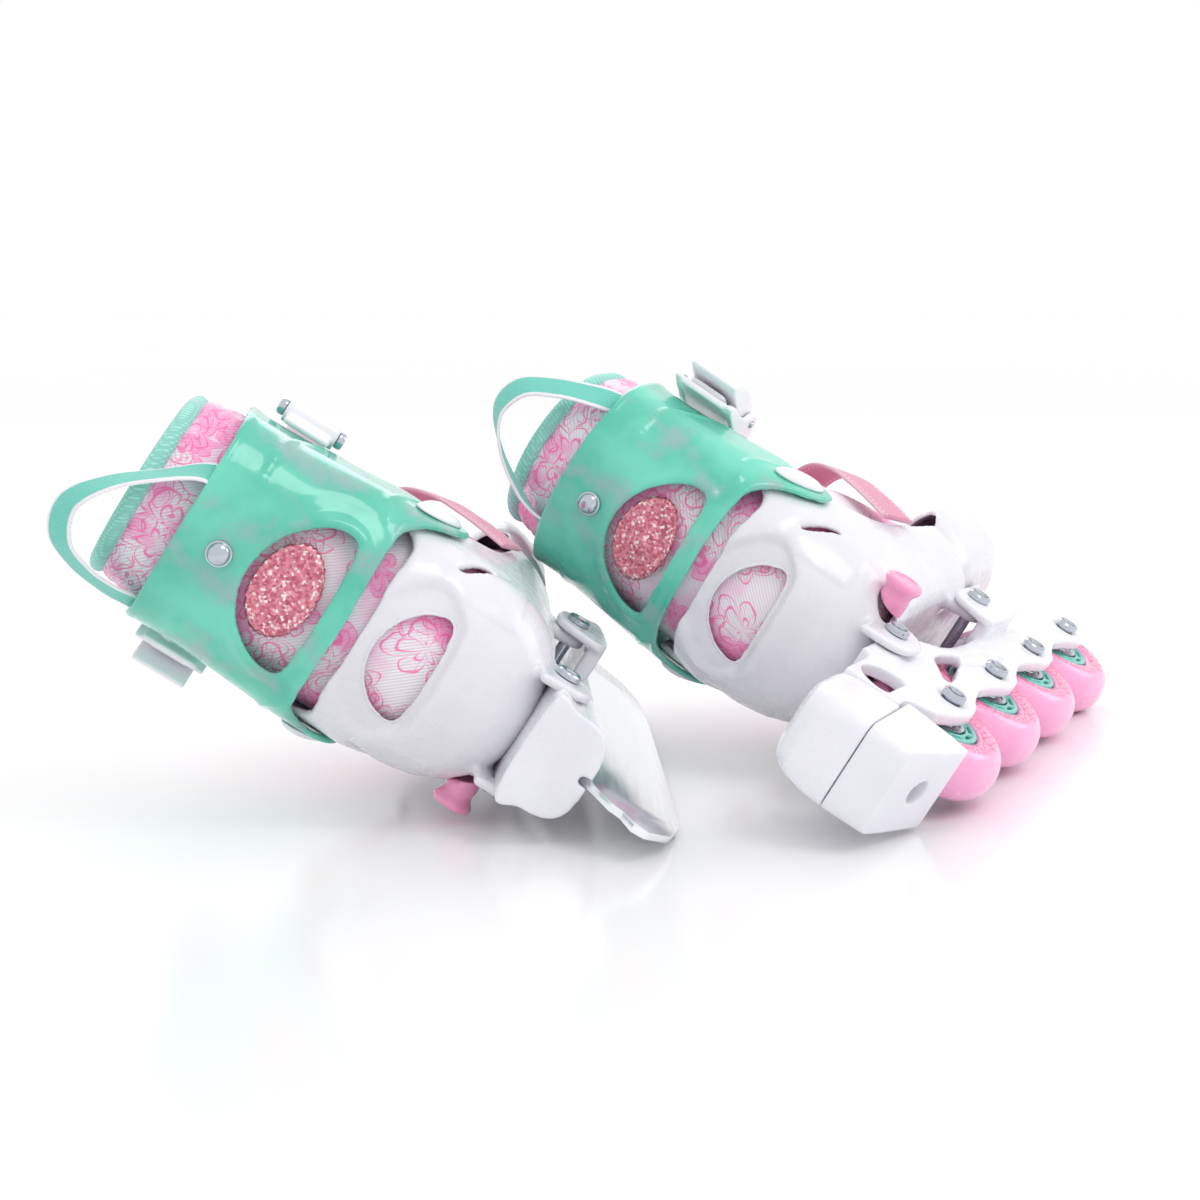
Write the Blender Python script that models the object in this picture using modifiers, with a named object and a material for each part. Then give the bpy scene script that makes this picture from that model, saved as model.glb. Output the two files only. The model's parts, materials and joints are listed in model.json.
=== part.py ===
"""A pair of children's skates lying on their sides: a right inline skate and a left ice skate.

Each skate is modelled upright in its own frame, in millimetres: X towards the toe, Y to the
skate's left, Z up the leg, with the origin on the ground line below the middle of the wheelbase.
The right skate is the pattern, with its outer side at -Y; the left skate's boot is its mirror
image.  An empty for each skate then lays it on the floor.
"""
import math

import bmesh
import bpy
from mathutils import Matrix, Vector

MM = 0.001

# Chassis
WHEEL_RADIUS = 32.0
WHEEL_HALF = 12.0
AXLE_STEP = 67.0
AXLE_X = [AXLE_STEP * step for step in (-1.5, -0.5, 0.5, 1.5)]
HUB_RADIUS = 17.0
HUB_HALF = 11.0
BEARING_RADIUS = 11.0
BEARING_BORE = 4.0
BEARING_HALF = 3.5
RAIL_IN = 14.0
RAIL_OUT = 20.0
BOLT_RADIUS = 2.6
HEAD_RADIUS = 5.2
HEAD_TALL = 2.6
DECK_LOW = 66.0
DECK_TOP = 70.6
REAR_BOLT = (-90.0, 67.0)
FRONT_BOLT = (6.0, 61.0)
TOWER_HALF = 21.3
SADDLE_IN = 27.8
SADDLE_OUT = 31.5
BRAKE_BOLT_X = -160.0

# Boot
SOLE = 71.0
SHELL_WALL = 3.0
SHELL_FRONT = 28.0
CUFF_WALL = 2.5
CUFF_TOP = 222.0
PIVOT = (-69.0, 140.0)
BUTTON = (-80.0, 77.0)
FIT = 0.3

# Closed outlines of the boot at rising levels: z, back x, front x, half width at heel and at ball.
SHELL_LEVELS = [(71, -95, 112, 25, 27), (76, -101, 118, 32, 33), (88, -105, 122, 39, 40.6),
                (105, -107, 118, 43, 45.4), (125, -107, 100, 45.2, 46), (158, -107, 70, 45.4, 45.4)]
TOE_LEVELS = [(74.5, -60, 110, 29.5, 29.5), (79, -60, 118, 35.8, 35.8), (86, -60, 122, 40.2, 40.2),
              (97, -60, 120, 44.2, 44.2), (106, -60, 112, 45.4, 44.4), (112, -60, 98, 44.6, 39),
              (116, -60, 90, 39, 31)]
TOE_NEST = 5.3
FOOT_LEVELS = [(77.6, -95, 104, 23, 23), (84, -99.6, 112, 31, 30.4), (95, -102, 112, 36.4, 35.2),
               (106, -103, 82, 39.2, 37.4), (111, -103, 47, 40, 38), (118, -103.2, 40, 40.6, 39),
               (130, -103.4, 33, 41.6, 41), (139, -103.4, 16, 41.8, 41.8), (148, -103.4, -5, 41.8, 41.8)]
CUFF_LEVELS = [(118, -109.4, -10, 49.2, 49.2), (150, -109.4, -12, 49.2, 49.2),
               (175, -108.4, -15, 47.6, 47.6), (200, -107.4, -16, 45.8, 45.8),
               (226, -107.6, -15, 45.6, 45.6)]
COLLAR_LEVELS = [(146, -103.4, -17.5, 41.8, 41.8), (158, -103.6, -17.5, 41.8, 41.8),
                 (180, -103.9, -18.5, 42.6, 42.6), (205, -103.4, -19.5, 41.6, 41.6),
                 (224, -103.4, -19, 41.2, 41.2), (238, -104, -15, 41, 41), (243, -101, -17, 38.5, 38.5)]
ROUND_HEEL = 34.0
ROUND_TOE = 46.0

# How each skate lies: place of its own origin in millimetres, turn about Z, toe up, leg rise.
POSES = {"right": ((176.2, 9.4, 8.6), 65.1, -1.2, 30.8),
         "left": ((3.2, -11.6, 3.1), 93.1, 1.3, 32.7)}

COLOURS = {  # base colour, roughness, metallic
    "white": ((0.88, 0.88, 0.92), 0.28, 0.0),
    "teal": ((0.30, 0.80, 0.68), 0.22, 0.0),
    "lining": ((0.93, 0.70, 0.80), 0.85, 0.0),
    "pink": ((0.95, 0.45, 0.66), 0.30, 0.0),
    "hub": ((0.20, 0.62, 0.54), 0.30, 0.0),
    "webbing": ((0.42, 0.84, 0.74), 0.80, 0.0),
    "steel": ((0.68, 0.70, 0.74), 0.22, 1.0),
    "rubber": ((0.84, 0.84, 0.87), 0.45, 0.0),
}


def clear_scene():
    for old in list(bpy.data.objects):
        bpy.data.objects.remove(old, do_unlink=True)


def material(name):
    found = bpy.data.materials.get(name)
    if found:
        return found
    colour, roughness, metallic = COLOURS[name]
    made = bpy.data.materials.new(name)
    made.use_nodes = True
    shader = made.node_tree.nodes["Principled BSDF"]
    shader.inputs["Base Color"].default_value = (*colour, 1.0)
    shader.inputs["Roughness"].default_value = roughness
    shader.inputs["Metallic"].default_value = metallic
    return made


# ---- Shapes, in millimetres ----------------------------------------------------------------

def link(name, mesh):
    made = bpy.data.objects.new(name, mesh)
    PARTS.objects.link(made)
    return made


def from_bmesh(name, bm):
    bmesh.ops.recalc_face_normals(bm, faces=bm.faces)
    if bm.calc_volume(signed=True) < 0:
        bmesh.ops.reverse_faces(bm, faces=bm.faces)
    mesh = bpy.data.meshes.new(name)
    bm.to_mesh(mesh)
    bm.free()
    return link(name, mesh)


def baked(obj):
    """Replace an object's mesh or curve by its evaluated, welded mesh."""
    bpy.context.view_layer.update()
    evaluated = obj.evaluated_get(bpy.context.evaluated_depsgraph_get())
    bm = bmesh.new()
    bm.from_mesh(bpy.data.meshes.new_from_object(evaluated))
    bm.transform(obj.matrix_world)
    bmesh.ops.remove_doubles(bm, verts=bm.verts, dist=0.002)
    name = obj.name
    bpy.data.objects.remove(obj, do_unlink=True)
    return from_bmesh(name, bm)


def combined(target, others, operation="DIFFERENCE"):
    for other in others:
        step = target.modifiers.new("shape", "BOOLEAN")
        step.solver = "EXACT"
        step.operation = operation
        step.object = other
    made = baked(target)
    for other in others:
        bpy.data.objects.remove(other, do_unlink=True)
    return made


def box(low, high, bevel=0.0):
    bm = bmesh.new()
    bmesh.ops.create_cube(bm, size=1.0)
    size = Vector(high) - Vector(low)
    middle = (Vector(high) + Vector(low)) / 2
    bm.transform(Matrix.Translation(middle) @ Matrix.Diagonal((*size, 1.0)))
    made = from_bmesh("box", bm)
    if bevel:
        step = made.modifiers.new("edges", "BEVEL")
        step.width = bevel
        step.segments = 1
        made = baked(made)
    return made


def rod(radius, start, end, sides=12):
    """A cylinder between two points."""
    start, end = Vector(start), Vector(end)
    along = end - start
    bm = bmesh.new()
    bmesh.ops.create_cone(bm, cap_ends=True, segments=sides, radius1=radius, radius2=radius,
                          depth=along.length)
    turn = along.to_track_quat("Z", "Y").to_matrix().to_4x4()
    bm.transform(Matrix.Translation((start + end) / 2) @ turn)
    return from_bmesh("rod", bm)


def plate(outline, low, high, axis="Y", bevel=0.0):
    """A flat outline extruded along an axis.  Along Y its points are (x, z), along X (y, z)."""
    curve = bpy.data.curves.new("plate", "CURVE")
    curve.dimensions = "2D"
    curve.fill_mode = "BOTH"
    curve.extrude = (high - low) / 2
    spline = curve.splines.new("POLY")
    spline.points.add(len(outline) - 1)
    for point, (across, up) in zip(spline.points, outline):
        point.co = (across, up, 0, 1)
    spline.use_cyclic_u = True
    made = link("plate", curve)
    middle = (high + low) / 2
    stand = Matrix.Rotation(math.radians(90), 4, "X")
    if axis == "Y":
        made.matrix_world = Matrix.Translation((0, middle, 0)) @ stand
    else:
        made.matrix_world = (Matrix.Translation((middle, 0, 0))
                             @ Matrix.Rotation(math.radians(90), 4, "Z") @ stand)
    made = baked(made)
    if bevel:
        step = made.modifiers.new("edges", "BEVEL")
        step.width = bevel
        step.segments = 2
        step.limit_method = "ANGLE"
        step.angle_limit = math.radians(40)
        made = baked(made)
    return made


def turned(profile, steps=32):
    """A ring turned about the Y axis from a closed profile of (radius, y) points."""
    bm = bmesh.new()
    corners = [bm.verts.new((radius, along, 0)) for radius, along in profile]
    for first, second in zip(corners, corners[1:] + corners[:1]):
        bm.edges.new((first, second))
    made = from_bmesh("turned", bm)
    step = made.modifiers.new("turn", "SCREW")
    step.axis = "Y"
    step.steps = step.render_steps = steps
    step.use_merge_vertices = True
    step.merge_threshold = 0.0001
    return baked(made)


def arc(centre, radii, start, end, count):
    """Points on an ellipse between two angles in degrees."""
    points = []
    for index in range(count + 1):
        angle = math.radians(start + (end - start) * index / count)
        points.append((centre[0] + radii[0] * math.cos(angle), centre[1] + radii[1] * math.sin(angle)))
    return points


def boot_ring(level, inset=0.0, heel=ROUND_HEEL, toe=ROUND_TOE, arc_steps=5, side_steps=3, stops=()):
    """One closed outline of the boot at a level, rounded at the heel and the toe.

    Its sides have points at the stops, or else evenly spaced ones.
    """
    z, back, front, half_heel, half_ball = level
    back, front = back + inset, front - inset
    half_heel, half_ball = half_heel - inset, half_ball - inset
    heel, toe = heel - inset, toe - inset
    half = []
    for index in range(arc_steps + 1):
        angle = math.pi / 2 * index / arc_steps
        half.append((back + heel * (1 - math.cos(angle)), half_heel * math.sin(angle)))
    span = front - toe - back - heel
    shares = [(stop - back - heel) / span for stop in stops]
    for share in shares or [index / side_steps for index in range(1, side_steps)]:
        blend = half_heel + (half_ball - half_heel) * share
        half.append((back + heel + span * share, blend))
    for index in range(arc_steps + 1):
        angle = math.pi / 2 * index / arc_steps
        half.append((front - toe + toe * math.sin(angle), half_ball * math.cos(angle)))
    other = [(x, -y) for x, y in reversed(half[1:-1])]
    return [Vector((x, y, z)) for x, y in half + other]


def loft(rings):
    """A closed solid through rings of the same number of points."""
    bm = bmesh.new()
    rows = [[bm.verts.new(point) for point in ring] for ring in rings]
    count = len(rows[0])
    for low, high in zip(rows, rows[1:]):
        for index in range(count):
            after = (index + 1) % count
            bm.faces.new((low[index], low[after], high[after], high[index]))
    bm.faces.new(list(reversed(rows[0])))
    bm.faces.new(rows[-1])
    return from_bmesh("loft", bm)


def ribbon(path, across, width, thick):
    """A flat strap along a path, with one direction across it for each point."""
    rings = []
    for index, point in enumerate(path):
        before = Vector(path[max(index - 1, 0)])
        after = Vector(path[min(index + 1, len(path) - 1)])
        along = (after - before).normalized()
        side = Vector(across[index] if isinstance(across, list) else across)
        side = (side - along * side.dot(along)).normalized()
        face = along.cross(side)
        corner = [(-1, -1), (1, -1), (1, 1), (-1, 1)]
        rings.append([Vector(point) + side * (width / 2 * a) + face * (thick / 2 * b)
                      for a, b in corner])
    return loft(rings)


def smooth_path(points, steps):
    """Points of a Catmull-Rom curve through the given ones."""
    points = [Vector(point) for point in points]
    ends = [2 * points[0] - points[1]] + points + [2 * points[-1] - points[-2]]
    path = []
    for index in range(1, len(ends) - 2):
        a, b, c, d = ends[index - 1:index + 3]
        for step in range(steps):
            t = step / steps
            path.append(0.5 * (2 * b + (c - a) * t + (2 * a - 5 * b + 4 * c - d) * t ** 2
                               + (3 * b - a - 3 * c + d) * t ** 3))
    return path + [points[-1]]


# ---- Placing -------------------------------------------------------------------------------

def keep(obj, name, colour, skate, parent, origin=(0, 0, 0)):
    """Give a finished shape its name and material and hang it on its empty.

    The shape comes in the skate's own frame; origin is where its parent stands in that frame.
    """
    mesh = obj.data
    mesh.transform(Matrix.Translation(-Vector(origin)))
    if skate == "left":
        mesh.transform(Matrix.Diagonal((1, -1, 1, 1)))
        mesh.flip_normals()
    mesh.transform(Matrix.Scale(MM, 4))
    mesh.materials.clear()
    mesh.materials.append(material(colour))
    mesh.shade_smooth()
    mesh.set_sharp_from_angle(angle=math.radians(35))
    obj.name = mesh.name = f"{skate}_{name}"
    obj.parent = parent
    return obj


def stand(name, skate, origin, parent):
    """An empty at a point of the skate's frame, where a moving group turns or slides."""
    made = bpy.data.objects.new(f"{skate}_{name}", None)
    PARTS.objects.link(made)
    side = -1 if skate == "left" else 1
    made.location = (origin[0] * MM, origin[1] * MM * side, origin[2] * MM)
    made.parent = parent
    return made


def laid(skate):
    """The empty that lays a skate on the floor."""
    place, turn, toe_up, rise = POSES[skate]
    made = bpy.data.objects.new(f"{skate}_skate", None)
    PARTS.objects.link(made)
    made.rotation_euler = [math.radians(a) for a in (rise - 90, -toe_up, turn)]
    made.location = Vector(place) * MM
    return made


# ---- Boot ----------------------------------------------------------------------------------

def window(width, base, top, low_x, high_x):
    """A cutter for a window in the back: flat below and arched above."""
    outline = arc((0, base), (width / 2, top - base), 0, 180, 10)
    return plate(outline, low_x, high_x, axis="X")


def lens(centre, length, width, turn, low, high):
    """A cutter along Y shaped like a slim eye."""
    angle = math.radians(turn)
    outline = []
    for index in range(10):
        around = 2 * math.pi * index / 10
        along, over = length / 2 * math.cos(around), width / 2 * math.sin(around)
        outline.append((centre[0] + along * math.cos(angle) - over * math.sin(angle),
                        centre[1] + along * math.sin(angle) + over * math.cos(angle)))
    return plate(outline, low, high)


def shell(skate, parent):
    outer = loft([boot_ring(level) for level in SHELL_LEVELS])
    inner = [boot_ring(level, SHELL_WALL) for level in SHELL_LEVELS[1:]]
    floor = [Vector((point.x, point.y, SOLE + SHELL_WALL)) for point in boot_ring(SHELL_LEVELS[0], 2.0)]
    top = [Vector((point.x, point.y, 165)) for point in inner[-1]]
    rim = [(-130, 143), (-88, 143), (-83, 150), (-76, 154), (-62, 154), (-55, 150), (-49, 136),
           (-42, 124), (-28, 117), (0, 111), (60, 106), (140, 106), (140, 175), (-130, 175)]
    body = combined(outer, [loft([floor] + inner + [top]), plate(rim, -70, 70),
                            box((SHELL_FRONT, -70, 60), (140, 70, 170))])
    tab = [(-106, 77), (-101, 62), (-95, 57), (-85, 57), (-79, 62), (-73, 77)]
    lug = [(-4, 73.5), (-2, 58), (2, 55), (10, 55), (14, 58), (18, 73.5)]
    added = [box((20, -24, SOLE), (62, 24, SOLE + SHELL_WALL))]
    for side in (-1, 1):
        near, far = sorted((side * (TOWER_HALF + FIT), side * 25.6))
        added.append(plate(tab, near, far))
        near, far = sorted((side * 22.0, side * (SADDLE_IN - FIT)))
        added.append(plate(lug, near, far))
    body = combined(body, added, "UNION")
    cutters = [window(44, 117, 137, -130, -80),
               rod(6.6, (BUTTON[0], -60, BUTTON[1]), (BUTTON[0], 0, BUTTON[1])),
               bolt_hole(REAR_BOLT), bolt_hole(FRONT_BOLT)]
    for side in (-1, 1):
        near, far = sorted((side * 30.0, side * 60.0))
        cutters.append(lens((-78, 117), 32, 4.4, -43, near, far))
    keep(combined(body, cutters), "shell", "white", skate, parent)


def toe_cap(skate, parent):
    """The toe slides out of the shell; its narrow tail stays inside the shell's walls."""
    def rings(inset, levels):
        made = []
        for level in levels:
            ring = boot_ring(level, inset, stops=(0, SHELL_FRONT + 2, SHELL_FRONT + 12))
            for point in ring:
                nested = 1 - min(max((point.x - SHELL_FRONT - 2) / 10, 0), 1)
                point.y *= 1 - nested * TOE_NEST / level[3]
            made.append(ring)
        return made
    outer = loft(rings(0, TOE_LEVELS))
    wall = 2.3
    inner = loft([[Vector((p.x, p.y, 76.8)) for p in rings(wall, TOE_LEVELS[:1])[0]]]
                 + rings(wall, TOE_LEVELS[1:-1])
                 + [[Vector((p.x, p.y, 114.6)) for p in rings(wall, TOE_LEVELS[-1:])[0]]])
    throat = [(-80, 60), (6, 60), (6, 92), (20, 101), (38, 109), (46, 113), (50, 125), (-80, 125)]
    body = combined(outer, [inner, plate(throat, -70, 70)])
    keep(body, "toe_cap", "white", skate, parent)


def size_button(skate, parent):
    x, z = BUTTON
    profile = [(0.01, -33.5), (6.0, -33.5), (6.0, -37), (8.2, -40.5), (8.2, -42.5), (6.5, -43.5),
               (0.01, -43.5)]
    button = turned_solid(profile, (x, z))
    keep(button, "size_button", "pink", skate, parent, (x, -30, z))


def turned_solid(profile, centre, steps=16):
    """A solid turned about a line along Y through (x, z), from profile points (radius, y)."""
    rings = []
    for radius, along in profile:
        rings.append([Vector((centre[0] + radius * math.cos(2 * math.pi * i / steps), along,
                              centre[1] + radius * math.sin(2 * math.pi * i / steps)))
                      for i in range(steps)])
    return loft(rings)


def cuff(skate, parent, pivot):
    outer = loft([boot_ring(level, 0, 36, 44, 6, 2) for level in CUFF_LEVELS])
    inner = [boot_ring(level, CUFF_WALL, 36, 44, 6, 2) for level in CUFF_LEVELS]
    low = [Vector((p.x, p.y, 110)) for p in inner[0]]
    high = [Vector((p.x, p.y, 235)) for p in inner[-1]]
    side = [(-125, 150), (-93, 150), (-85, 141), (-78, 130), (-67, 125), (-58, 125.5), (-54, 131),
            (-57, 143), (-52, 152), (-41, 163), (-32, 172), (-27, 184), (-27, CUFF_TOP),
            (-60, CUFF_TOP + 1), (-125, CUFF_TOP - 2)]
    body = combined(outer, [loft([low] + inner + [high])])
    body = combined(body, [plate(side, -70, 70)], "INTERSECT")
    body = combined(body, [window(60, 163, 192, -130, -75)])
    keep(body, "cuff", "teal", skate, parent, pivot)


def liner(skate, foot_parent, collar_parent, pivot):
    """The padded liner, in a foot part and a collar part that parts with the cuff's flex."""
    foot = loft([boot_ring(level) for level in FOOT_LEVELS])
    hollow = [boot_ring(level, 6.0) for level in FOOT_LEVELS[1:]]
    hollow.append([Vector((p.x, p.y, 160)) for p in hollow[-1]])
    slope = [(-130, 146), (-60, 143), (0, 137.5), (60, 137.5), (60, 170), (-130, 170)]
    keep(combined(foot, [loft(hollow), plate(slope, -60, 60)]), "liner_foot", "lining", skate, foot_parent)
    collar = loft([boot_ring(level, 0, 38, 40, 5, 2) for level in COLLAR_LEVELS])
    hollow = [boot_ring(level, 6.0, 38, 40, 5, 2) for level in COLLAR_LEVELS]
    hollow = [[Vector((p.x, p.y, 130)) for p in hollow[0]]] + hollow
    hollow.append([Vector((p.x, p.y, 260)) for p in hollow[-1]])
    slope = [(-130, 120), (0, 120), (0, 148.5), (-60, 149.5), (-130, 150)]
    keep(combined(collar, [loft(hollow), plate(slope, -60, 60)]), "liner_collar", "lining", skate,
         collar_parent, pivot)


def pivot_caps(skate, parent, pivot):
    for number, side in ((1, -1), (2, 1)):
        rings = []
        for grow, out in ((1.0, 49.5), (1.0, 50.9), (0.82, 52.2), (0.45, 52.9)):
            ring = []
            for index in range(16):
                around = 2 * math.pi * index / 16
                along, over = 12 * grow * math.cos(around), 6.5 * grow * math.sin(around)
                ring.append(Vector((pivot[0] + (along + over) * 0.7071, side * out,
                                    pivot[2] + (over - along) * 0.7071)))
            rings.append(ring)
        keep(loft(rings), f"pivot_cap_{number}", "white", skate, parent, pivot)


def rivet(skate, parent, pivot):
    rings = []
    for radius, out in ((4.6, 0.3), (4.4, 1.6), (3.2, 2.9), (1.4, 3.5)):
        rings.append([Vector((-107.5 - out, radius * math.cos(2 * math.pi * i / 12),
                              203 + radius * math.sin(2 * math.pi * i / 12))) for i in range(12)])
    keep(loft(rings), "rivet", "steel", skate, parent, pivot)


# The buckle stands on a plane that touches the cuff on its outer front quarter.
BUCKLE_TURN = 28.0
BUCKLE_FOOT = Vector((-38.6, -41.4, 200.0))
LEVER_PIN = (14.0, 12.0)  # along and out


def buckle_point(along, out, up):
    angle = math.radians(BUCKLE_TURN)
    forward = Vector((math.cos(angle), math.sin(angle), 0))
    away = Vector((math.sin(angle), -math.cos(angle), 0))
    return BUCKLE_FOOT + forward * along + away * out + Vector((0, 0, up))


def on_buckle(obj):
    """Turn a shape made with x along, y inwards and z up the buckle onto its place."""
    turn = Matrix.Rotation(math.radians(BUCKLE_TURN), 4, "Z")
    obj.data.transform(Matrix.Translation(BUCKLE_FOOT) @ turn)
    return obj


def buckle(skate, parent, lever_parent, pivot, pin):
    base = combined(box((-21, -4.2, -13), (23, -1.4, 13)),
                    [box((4, -16, 12.3), (22, -1.6, 15), 0.8), box((4, -16, -15), (22, -1.6, -12.3), 0.8)],
                    "UNION")
    hole = rod(1.9, (LEVER_PIN[0], -LEVER_PIN[1], -20), (LEVER_PIN[0], -LEVER_PIN[1], 20), 12)
    base = combined(base, [hole])
    keep(on_buckle(base), "buckle_base", "white", skate, parent, pivot)
    side = [(17, -8.8), (18, -14), (10, -16.4), (-8, -16), (-22, -13.2), (-24, -9.8), (-8, -8.8)]
    grip = plate([(x, -y) for x, y in side], -11.8, 11.8)
    grip.data.transform(Matrix.Rotation(math.radians(90), 4, "X"))
    shaft = rod(1.5, (LEVER_PIN[0], -LEVER_PIN[1], -14.8), (LEVER_PIN[0], -LEVER_PIN[1], 14.8), 12)
    lever = combined(grip, [shaft], "UNION")
    keep(on_buckle(lever), "buckle_lever", "white", skate, lever_parent, pin)


def ladder_strap(skate, parent, pivot):
    entry = [buckle_point(along, 6.2, 0) for along in (-16, 0, 16, 24)]
    around = [(0, -26, 200), (22, -8, 200), (27, 12, 200), (16, 34, 200), (-6, 47, 200), (-35, 49.5, 200)]
    path = smooth_path(entry + [Vector(point) for point in around], 3)
    keep(ribbon(path, (0, 0, 1), 18, 2.0), "ladder_strap", "white", skate, parent, pivot)
    keep(rod(3.6, (-41.5, 48.8, 186), (-41.5, 48.8, 214), 20), "strap_hinge_pin", "steel", skate,
         parent, pivot)


def carry_loop(skate, parent, pivot):
    points = [(-106.5, -33, 225), (-108.5, -32, 238), (-109.5, -25, 253), (-109.5, -12, 259),
              (-109.5, 2, 249), (-109, 14, 234), (-107.5, 22, 225)]
    path = smooth_path(points, 3)
    keep(ribbon(path, (1, 0, 0), 1.8, 12), "carry_loop", "webbing", skate, parent, pivot)


def instep_strap(skate, parent):
    points = [(-12, -48.6, 122), (-6, -48.4, 134), (2, -42, 149), (8, -24, 157), (10, 0, 160),
              (8, 24, 157), (2, 42, 149), (-6, 48.4, 134), (-12, 48.6, 122)]
    path = smooth_path(points, 2)
    keep(ribbon(path, (0.85, 0, -0.5), 26, 2.0), "instep_strap", "pink", skate, parent)


# ---- Chassis -------------------------------------------------------------------------------

def through_bolt(x, z, half):
    """A cross bolt with a socket head at -Y and a barrel nut head at +Y."""
    profile = [(HEAD_RADIUS - 0.8, -half - HEAD_TALL), (HEAD_RADIUS, -half - HEAD_TALL + 0.8),
               (HEAD_RADIUS, -half), (BOLT_RADIUS, -half), (BOLT_RADIUS, half), (HEAD_RADIUS, half),
               (HEAD_RADIUS, half + HEAD_TALL - 0.8), (HEAD_RADIUS - 0.8, half + HEAD_TALL)]
    bolt = turned_solid(profile, (x, z), 12)
    socket = rod(2.6, (x, -half - HEAD_TALL - 1, z), (x, -half - 0.8, z), 6)
    return combined(bolt, [socket])


def mount_bolts(skate, parent):
    keep(through_bolt(*REAR_BOLT, 25.9), "mount_bolt_rear", "steel", skate, parent)
    keep(through_bolt(*FRONT_BOLT, SADDLE_OUT + FIT), "mount_bolt_front", "steel", skate, parent)


def saddle():
    """The shelf and upright tabs that take the shell's front lugs, as shapes to join on."""
    tab = [(-10, 46), (-8, 69.5), (20, 69.5), (34, 56), (36, 46)]
    made = []
    for side in (-1, 1):
        near, far = sorted((side * SADDLE_IN, side * SADDLE_OUT))
        made.append(combined(plate(tab, near, far), [bolt_hole(FRONT_BOLT)]))
        near, far = sorted((side * (RAIL_IN + 1), side * (SADDLE_OUT - 1)))
        made.append(box((-9.5, near, 46.8), (35, far, 53.5)))
    return made


def bolt_hole(place):
    return rod(BOLT_RADIUS + FIT, (place[0], -45, place[1]), (place[0], 45, place[1]))


def rail_outline():
    """Side view of a rail: a boss round each axle below, towers and an arch above."""
    low = []
    for x in AXLE_X:
        rise = x / 200
        low += [(x - 21, 26.4 + rise), (x - 10, 23), (x, 21.8), (x + 10, 23), (x + 21, 27.2 + rise)]
    low[0], low[1] = (-133.5, 41.5), (-124, 27.8)
    low[-1] = (116, 28)
    top = [(118, 36), (110, 46), (84, 54), (60, 57), (40, 52), (-34, 51), (-50, 55), (-60, 62),
           (-70, 66.5), (-146, 66.5), (-146, 41.5)]
    return low + top


def frame(parent):
    skate = "right"
    rails = []
    for side in (-1, 1):
        near, far = sorted((side * RAIL_IN, side * RAIL_OUT))
        rail = plate(rail_outline(), near, far)
        moon = arc((-131, 52), (12, 12), 0, 180, 8) + [(-141, 49), (-122, 48)]
        rail = combined(rail, [plate(moon, near - 1, far + 1),
                               plate([(-86, 39), (-70, 51), (-46, 47)], near - 1, far + 1)])
        rails.append(rail)
    joined = [rails[1], box((-145.4, -15, 42.4), (-136, 15, 66.1)), box((-73, -15, 54), (-61, 15, 64)),
              box((-6, -15, 50), (6, 15, 57)), box((60, -15, 48), (74, 15, 56)),
              box((-118, -TOWER_HALF, 58), (-72, TOWER_HALF, DECK_TOP))] + saddle()
    body = combined(rails[0], joined, "UNION")
    gap = RAIL_IN - 0.2
    channel = box((-134, -gap, 10), (-73.4, gap, DECK_LOW))
    cutters = [channel, bolt_hole(REAR_BOLT)]
    cutters += [rod(WHEEL_RADIUS + 2, (x, -gap, WHEEL_RADIUS), (x, gap, WHEEL_RADIUS), 20)
                for x in AXLE_X[1:]]
    cutters += [rod(BEARING_BORE, (x, -30, WHEEL_RADIUS), (x, 30, WHEEL_RADIUS)) for x in AXLE_X]
    keep(combined(body, cutters), "frame", "white", skate, parent)


def wheels(parent):
    skate = "right"
    shoulder = [(WHEEL_RADIUS - 9 * (1 - math.cos(a)), WHEEL_HALF * math.sin(a))
                for a in (math.radians(d) for d in range(-84, 85, 28))]
    tyre = [(HUB_RADIUS + FIT, -WHEEL_HALF + 1)] + shoulder + [(HUB_RADIUS + FIT, WHEEL_HALF - 1)]
    seat = HUB_HALF - 2 * BEARING_HALF - 0.3
    hub = [(HUB_RADIUS, -HUB_HALF), (HUB_RADIUS, HUB_HALF), (BEARING_RADIUS + FIT, HUB_HALF),
           (BEARING_RADIUS + FIT, seat), (7, seat), (7, -seat), (BEARING_RADIUS + FIT, -seat),
           (BEARING_RADIUS + FIT, -HUB_HALF)]
    for number, x in enumerate(AXLE_X, start=1):
        centre = (x, 0, WHEEL_RADIUS)
        axis = stand(f"wheel_{number}_axis", skate, centre, parent)
        for name, profile, colour, steps in (("tyre", tyre, "pink", 22), ("hub", hub, "hub", 14)):
            ring = turned(profile, steps)
            keep(ring, f"{name}_{number}", colour, skate, axis)
        for letter, side in (("a", -1), ("b", 1)):
            middle = side * (HUB_HALF - BEARING_HALF)
            ring = turned([(BEARING_BORE, middle - BEARING_HALF), (BEARING_RADIUS, middle - BEARING_HALF),
                           (BEARING_RADIUS, middle + BEARING_HALF), (BEARING_BORE, middle + BEARING_HALF)], 12)
            keep(ring, f"bearing_{number}{letter}", "steel", skate, axis)
        bolt = turned_solid([(4.4, -22.9), (HEAD_RADIUS, -22.1), (HEAD_RADIUS, -20.3), (3.6, -20.3),
                             (3.6, 20.3), (HEAD_RADIUS, 20.3), (HEAD_RADIUS, 22.1), (4.4, 22.9)],
                            (x, WHEEL_RADIUS), 12)
        bolt = combined(bolt, [rod(2.6, (x, -24, WHEEL_RADIUS), (x, -21, WHEEL_RADIUS), 6)])
        keep(bolt, f"axle_bolt_{number}", "steel", skate, parent)


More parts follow.
